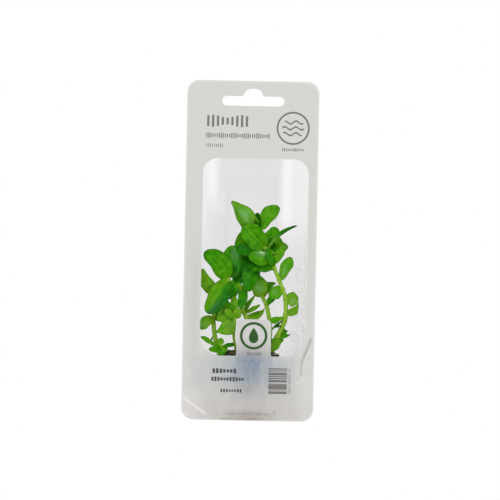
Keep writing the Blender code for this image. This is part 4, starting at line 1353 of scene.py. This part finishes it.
SMALL_LEAVES = [  # leaves behind and between the others, which have no solid of their own
    Leaf("inner_leaf_1", "tall", -92.5, (-8.6, 15.4, -103.0), 8.6, DEEP, roll=-10),
    Leaf("inner_leaf_2", "tall", -88.0, (-4.8, 14.2, -98.0), 8.4, DEEP, roll=-16),
    Leaf("inner_leaf_3", "tall", -108.8, (-6.6, 11.0, -103.2), 3.4, PALE, roll=10),
    Leaf("inner_leaf_4", "right", -89.0, (10.6, 13.2, -78.8), 5.6, DEEP, roll=-20),
    Leaf("inner_leaf_5", "left", -121.8, (-12.4, 13.6, -119.8), 5.6, FRESH, roll=-10),
    Leaf("inner_leaf_6", "short", -119.0, (-16.4, 9.0, -112.6), 5.2, FRESH),
    Leaf("inner_leaf_7", "short", -120.4, (-17.2, 8.2, -122.3), 6.8, BRIGHT, sweep=0.10),
    Leaf("inner_leaf_8", "tall", -73.4, (3.6, 13.2, -66.2), 2.8, SHADE),
    Leaf("inner_leaf_9", "right", -94.0, (8.6, 8.0, -84.4), 3.5, 0.4, arch=0.12),
    Leaf("foot_leaf_1", "right", -132.0, (21.3, 17.2, -128.2), 4.0, BRIGHT, sweep=-0.06, taper=0.95,
         lighter=(0.0, -1.0)),
    Leaf("foot_leaf_2", "right", -131.8, (23.2, 16.8, -130.2), 1.7, FRESH, roll=-20, taper=0.95,
         lighter=(0.0, -0.8)),
    Leaf("foot_leaf_3", "right", -126.5, (13.9, 10.4, -126.6), 2.2, DEEP, roll=50, sweep=0.15),
    Leaf("foot_leaf_4", "right", -134.6, (18.4, 16.0, -131.8), 3.2, BRIGHT),
    Leaf("foot_leaf_5", "right", -134.0, (11.6, 12.4, -135.0), 3.2, FRESH),
    Leaf("foot_leaf_6", "low", -136.8, (-18.9, 6.8, -139.6), 3.4, BRIGHT),
    Leaf("foot_leaf_7", "low", -137.4, (-11.2, 5.6, -139.2), 3.4, BRIGHT),
    Leaf("foot_leaf_8", "left", -136.4, (-19.1, 9.4, -131.8), 0.9, DEEP, sweep=-0.30),
    Leaf("foot_leaf_9", "low", -138.4, (-16.6, 4.2, -141.4), 2.4, PALE, roll=-10),
]
print("leaves:", len(LEAVES), "and", len(SMALL_LEAVES), "small ones")

# %% A leaf's midrib and outline
LEAF_WIDEST = 0.46  # the share of the length where a leaf is widest
LEAF_ROUNDNESS = 2.2  # 2 is an ellipse, and more is fuller
FOOT_REACH = 1.07  # over 1 leaves the foot some width, as a leaf without a stalk has
TIP_REACH = 1.012
FOOT_TAPER_END = 0.3  # how far past the widest place a negative taper still narrows the leaf
FOOT_DEPTH = 0.7  # how far out from the stem's middle a leaf starts, as a share of the stem's radius
LEAF_BLOOM = 0.4  # how far a leaf's wavy edge reaches past its plain solid


def leaf_frame(blade, share):
    """The midrib, and the directions to the side and out of the upper face, at shares of the length."""
    centre, tangent, radius = stem_at(STEMS[blade.stem], blade.height)
    tip = np.array(blade.tip)
    outward = tip - centre
    outward -= outward @ tangent * tangent
    outward /= np.linalg.norm(outward)
    foot = centre + outward * radius * FOOT_DEPTH
    length = np.linalg.norm(tip - foot)
    along = (tip - foot) / length
    face = FRONT - FRONT @ along * along
    face /= np.linalg.norm(face)
    side = np.cross(along, face)
    hump = (4 * share * (1 - share))[:, None] * length
    midrib = foot + share[:, None] * (tip - foot) + hump * (blade.arch * face + blade.sweep * side)
    roll = np.radians(blade.roll + blade.twist * share**2 * (3 - 2 * share))[:, None]
    return midrib, side * np.cos(roll) - face * np.sin(roll), face * np.cos(roll) + side * np.sin(roll)


def leaf_half_width(blade, share):
    """Half the width at each share: a full ellipse that is widest before the middle, narrowed by taper."""
    reach = np.where(share < LEAF_WIDEST, LEAF_WIDEST * FOOT_REACH, (1 - LEAF_WIDEST) * TIP_REACH)
    oval = np.sqrt(1 - (np.abs(share - LEAF_WIDEST) / reach) ** LEAF_ROUNDNESS)
    outer = np.clip((share - LEAF_WIDEST) / (1 - LEAF_WIDEST), 0, 1)
    inner = np.clip(1 - share / (LEAF_WIDEST + FOOT_TAPER_END), 0, 1)
    narrowing = 1 - (outer if blade.taper > 0 else inner) * abs(blade.taper)
    return (blade.width / 2 + LEAF_BLOOM) * oval * narrowing


# %% A leaf's two skins
LEAF_ROWS, LEAF_COLUMNS = 49, 25  # of points, closer together at the ends and at the edges
SHARES = (1 - np.cos(np.pi * np.arange(LEAF_ROWS) / (LEAF_ROWS - 1)))[:, None] / 2
ACROSS = np.sin(np.linspace(-1, 1, LEAF_COLUMNS) * np.pi / 2)
LEAF_THICKNESS = 0.55
VEINS = (0.0, 0.30, 0.56, 0.80)  # how far across each half the long veins run
VEIN_WIDTH, VEIN_DEPTH = 0.16, 0.12
SIDE_VEIN = 0.55  # how deep the other veins are against the midrib
GROOVE_ABOVE, RIB_BELOW = 0.9, 0.7
EDGE_WAVE, BUCKLE, SCALLOP = 0.055, 0.018, 0.06  # how strong they are, as shares of half the width


def vein_grooves(half):
    """How strong the veins are: a bell curve across each, which fades out at the leaf's two ends."""
    veins = sum(np.exp(-((np.abs(ACROSS) - vein) * half / VEIN_WIDTH) ** 2) * (SIDE_VEIN if vein else 1)
                for vein in VEINS)
    return veins * (1 - SHARES) ** 0.4 * ease(SHARES, 0.0, 0.08)


def leaf_skins(blade, seed):
    """The upper and the lower skin, as grids of points.

    Both stand off a middle surface by half the thickness, which is a half circle across the leaf.
    The middle surface is the fold, plus a wave that grows with the cube of the distance from the
    midrib, plus a slow buckle. Long veins are grooves above and ribs below.
    """
    midrib, side, face = (values[:, None] for values in leaf_frame(blade, SHARES[:, 0]))
    half = leaf_half_width(blade, SHARES)
    fold = math.radians(blade.fold)
    random = np.random.default_rng(seed)
    phase = random.uniform(0, 2 * np.pi, 3)
    one_side = (ACROSS > 0) * phase[1]
    wave = np.sin(SHARES * random.uniform(9, 13) + phase[0] + one_side)
    wave = wave * np.abs(ACROSS) ** 3 * half * EDGE_WAVE
    buckle = np.sin(SHARES * 7 + ACROSS * 2 + phase[2]) * half * BUCKLE
    scallops = 1 + SCALLOP * np.abs(ACROSS) * np.sin(SHARES * 11 + phase[2] + one_side)
    reach = half * ACROSS * math.cos(fold) * scallops
    rise = half * np.abs(ACROSS) * math.sin(fold) + wave + buckle
    middle = midrib + reach[..., None] * side + rise[..., None] * face
    plump = np.sqrt(half / half.max()) * np.sqrt(1 - ACROSS**2) * LEAF_THICKNESS / 2
    groove = vein_grooves(half) * np.minimum(plump, VEIN_DEPTH)
    upper = middle + (plump - groove * GROOVE_ABOVE)[..., None] * face
    lower = middle - (plump + groove * RIB_BELOW)[..., None] * face
    return upper, lower


# %% A leaf as one closed mesh
def without_edge(grid):
    """A grid less its outer rows and columns, with its points in one list."""
    inner = grid[1:-1, 1:-1]
    return inner.reshape(-1, *inner.shape[2:])


def leaf_faces():
    """Faces of the two skins. Both use the same points along the leaf's edge, so the mesh is closed."""
    above = np.arange(LEAF_ROWS * LEAF_COLUMNS).reshape(LEAF_ROWS, LEAF_COLUMNS)
    below = above.copy()
    below[1:-1, 1:-1] = above.size + np.arange(len(without_edge(above))).reshape(below[1:-1, 1:-1].shape)
    corners = [np.stack([skin[:-1, :-1], skin[:-1, 1:], skin[1:, 1:], skin[1:, :-1]], axis=-1).reshape(-1, 4)
               for skin in (above, below)]
    return [corners[0], corners[1][:, ::-1]]


LEAF_FACES = leaf_faces()
LEAF_GRID = np.stack(np.broadcast_arrays((ACROSS + 1) / 2, SHARES), axis=-1)
LEAF_UV = np.concatenate([LEAF_GRID.reshape(-1, 2), without_edge(LEAF_GRID)])
SHEEN_WIDTH, SHEEN_LENGTH = 0.24, 0.22  # of the patch of pale gloss, as shares of the leaf's own


def make_leaf(blade, seed, finish):
    """The mesh of a leaf, with the numbers that its finish reads at each point."""
    upper, lower = leaf_skins(blade, seed)
    points = np.concatenate([upper.reshape(-1, 3), without_edge(lower)])
    u, v = LEAF_UV.T
    amount, sheen_u, sheen_v = blade.sheen
    numbers = {
        # Across the leaf the tone carries painted light and shade, one half of the fold lighter than the
        # other.
        "tone": blade.tone + blade.lighter[0] * (ease(u, 0.44, 0.56) - 0.5) + blade.lighter[1] * (v - 0.5),
        "under": np.arange(len(points)) >= LEAF_ROWS * LEAF_COLUMNS,
        "sheen": amount * np.exp(-((u - sheen_u) / SHEEN_WIDTH) ** 2 - ((v - sheen_v) / SHEEN_LENGTH) ** 2),
        "seed": np.full(len(points), seed),
    }
    slot = "young_leaf" if blade.stem == "short" else "leaf"
    solid = (blade.name,) if blade in LEAVES else ()
    make_piece("fine_" + blade.name, points, LEAF_FACES, finish, stands_for=solid, uv=LEAF_UV,
               numbers=numbers)


# %% [markdown]
# A leaf's green changes from leaf to leaf, from foot to tip and from vein to vein. Sixty-six hand-made
# materials could say that, but two are enough: each mesh carries a few numbers, such as its tone, and
# the material reads them. The veins follow the leaf's own grid, because a pattern in space would run
# straight through a leaf that is turned.
#
# A tenth or so of the colour is sent out as light. It stands for the daylight that comes through a
# leaf from behind.

# %% The leaves' finish
GREENS = [  # from the darkest tone to the palest
    (0.0, (0.003, 0.085, 0.001)), (0.25, (0.008, 0.145, 0.001)), (0.5, (0.026, 0.215, 0.001)),
    (0.75, (0.066, 0.290, 0.001)), (1.0, (0.145, 0.350, 0.014)),
]
FOOT_GREEN, VEIN_GREEN, GLAND_GREEN = (0.135, 0.280, 0.004), (0.170, 0.390, 0.012), (0.200, 0.360, 0.020)
EDGE_GREEN, UNDER_GREEN = (0.016, 0.075, 0.002), (0.060, 0.230, 0.004)
SHEEN_GREEN, GLINT_PALE = (0.17, 0.43, 0.14), (0.75, 0.92, 0.60)
YOUNG_LIGHTER = 0.15  # how much higher the tone of the young leaves is
GLOW = 0.14  # how much of its colour a leaf or a stem sends out


def leaf_finish(name, lighter):
    """Leaf green by the leaf's tone, streaked lengthways, with pale veins, a dark edge and dots of glands.

    Where sheen is high a painted highlight shows as a pale patch, near white where it is strongest. Lighter
    is added to the tone.
    """
    finish, shader, place, uv = new_finish(name)
    u, v, _ = parts_of(uv)
    tone, under, seed, sheen = (number_on(uv, label) for label in ("tone", "under", "seed", "sheen"))
    pale = tone * 0.7 + 0.12
    across = abs(u * 2 - 1)
    cloud = noise(place, 2.6, detail=4.0)
    fine = noise(place, 0.5, detail=3.0)
    lanes = uv.node("ShaderNodeMapping", {}, {"Vector": uv, "Scale": (11.0, 1.1, 1.0)})
    streaks = uv.node("ShaderNodeTexNoise", {"noise_dimensions": "4D"},
                      {"Vector": lanes, "W": seed, "Scale": 1.0, "Detail": 3.0}, "Fac")
    level = tone + (cloud - 0.5) * 0.9 + (streaks - 0.5) + lighter
    colour = level.node("ShaderNodeValToRGB", {"stops": GREENS}, {"Fac": level}, "Color")
    colour = mix(v.ease(0.30, 0.0) * pale * 0.5, colour, FOOT_GREEN)
    veins = across.bell(0.0, 0.045)
    for vein in VEINS[1:]:
        veins = veins.most(across.bell(vein, 0.028) * 0.5)
    veins = veins * v.ease(1.0, 0.75) * (0.4 + fine)
    colour = mix(veins * pale * 0.6, colour, VEIN_GREEN)
    glands = cells(place, 0.55).ease(0.16, 0.08) * cloud.ease(0.35, 0.6)
    colour = mix(glands * (tone * 0.5 + 0.08), colour, GLAND_GREEN)
    edge = across.ease(0.82, 0.98).most(v.ease(0.93, 1.0))
    colour = mix(edge * 0.5, colour, EDGE_GREEN)
    colour = mix(under * 0.25, colour, UNDER_GREEN)
    # Painted highlight: the sheen turns the colour pale, near white at its strongest, and makes the coat
    # glossier.
    painted_sheen = sheen * (noise(place, 1.2, detail=4.0).ease(0.30, 0.62) * 0.6 + 0.4)
    colour = mix(painted_sheen * 0.75, colour, SHEEN_GREEN)
    colour = mix(painted_sheen.ease(0.80, 1.10), colour, GLINT_PALE)
    height = fine * 0.6 + cells(place, 0.8) * 0.5 - glands * 0.3 + cloud * 0.8
    dress(shader, base_color=colour, roughness=0.34 + cloud * 0.16 + under * 0.15,
          normal=bump(height, 0.14), specular_ior_level=0.06, coat_weight=painted_sheen * 0.5,
          coat_roughness=0.35, emission_color=colour, emission_strength=GLOW)
    return finish


# %% All the leaves
leaf_paint = leaf_finish("leaf_skin", 0.0)
young_paint = leaf_finish("young_leaf_skin", YOUNG_LIGHTER)
for seed, blade in enumerate(LEAVES + SMALL_LEAVES):
    make_leaf(blade, seed, young_paint if blade.stem == "short" else leaf_paint)
print("each leaf has", len(LEAF_UV), "points and", sum(map(len, LEAF_FACES)), "faces")

# %% [markdown]
# The stems' tubes come last, because they are swollen at the heights where the table has leaves.
# The rings of a tube stand square to its curve, and each ring's radius is the stem's own, times the
# swelling, times the flutes.

# %% The stems' tubes
STEM_SIDES = 20
STEM_RING_STEP = 0.45
STEM_FULLNESS = 1.12  # the fine stem's radius against its route's
JOINT_SWELLING, JOINT_REACH = 0.20, 0.9  # how much thicker a joint is, and how far up and down
FLUTES, FLUTE_DEPTH = 5, 0.035
STEM_TIP_RINGS = 4  # the last rings, which draw in towards the tip


def make_stem(name, stem, finish):
    """A fluted tube with rings along the route, swollen where its leaves grow and thin at its tip."""
    line = smooth_route(stem.route, STEM_RING_STEP)
    steps = len(line)
    heights = np.array([blade.height for blade in LEAVES if blade.stem == name])
    joints = np.exp(-((line[:, 2:] - heights) / JOINT_REACH) ** 2).max(axis=1)
    radii = np.linspace(stem.foot_radius, stem.tip_radius, steps) * (STEM_FULLNESS + JOINT_SWELLING * joints)
    radii *= 1 - 0.5 * ease(np.arange(steps), steps - STEM_TIP_RINGS, steps + 1)
    turns = np.arange(STEM_SIDES) / STEM_SIDES
    flutes = 1 + FLUTE_DEPTH * np.cos(FLUTES * 2 * np.pi * turns)
    rings = carried_along(line, round_profile(radii, STEM_SIDES) * flutes[:, None], FRONT)
    rings[0, :, 2] = STEM_FOOT
    uv = np.stack(np.broadcast_arrays(turns, np.arange(steps)[:, None] / steps), axis=-1)
    make_piece("fine_stem_" + name, rings.reshape(-1, 3), closed_tube(steps, STEM_SIDES), finish,
               stands_for=("stem_" + name,), uv=uv.reshape(-1, 2),
               numbers={"joint": np.repeat(joints, STEM_SIDES)})


# %% The stems and their finish
STEM_GREEN, STEM_PALE, JOINT_GREEN = (0.150, 0.340, 0.008), (0.350, 0.540, 0.060), (0.160, 0.290, 0.010)


def stem_finish():
    """Pale yellow-green, streaked lengthways, with a darker ring at each joint."""
    finish, shader, place, _ = new_finish("stem_skin")
    streaks = noise(place, 0.7, detail=3.0, stretch=(1.0, 1.0, 0.12))
    cloud = noise(place, 5.0)
    colour = mix(streaks * 0.8 + cloud * 0.2, STEM_GREEN, STEM_PALE)
    colour = mix(number_on(place, "joint").ease(0.3, 0.9) * 0.4, colour, JOINT_GREEN)
    dress(shader, base_color=colour, roughness=0.40 + streaks * 0.15, normal=bump(streaks, 0.06),
          specular_ior_level=0.15, emission_color=colour, emission_strength=GLOW)
    return finish


stem_paint = stem_finish()
for name, stem in STEMS.items():
    make_stem(name, stem, stem_paint)
print("stems:", len(STEMS))
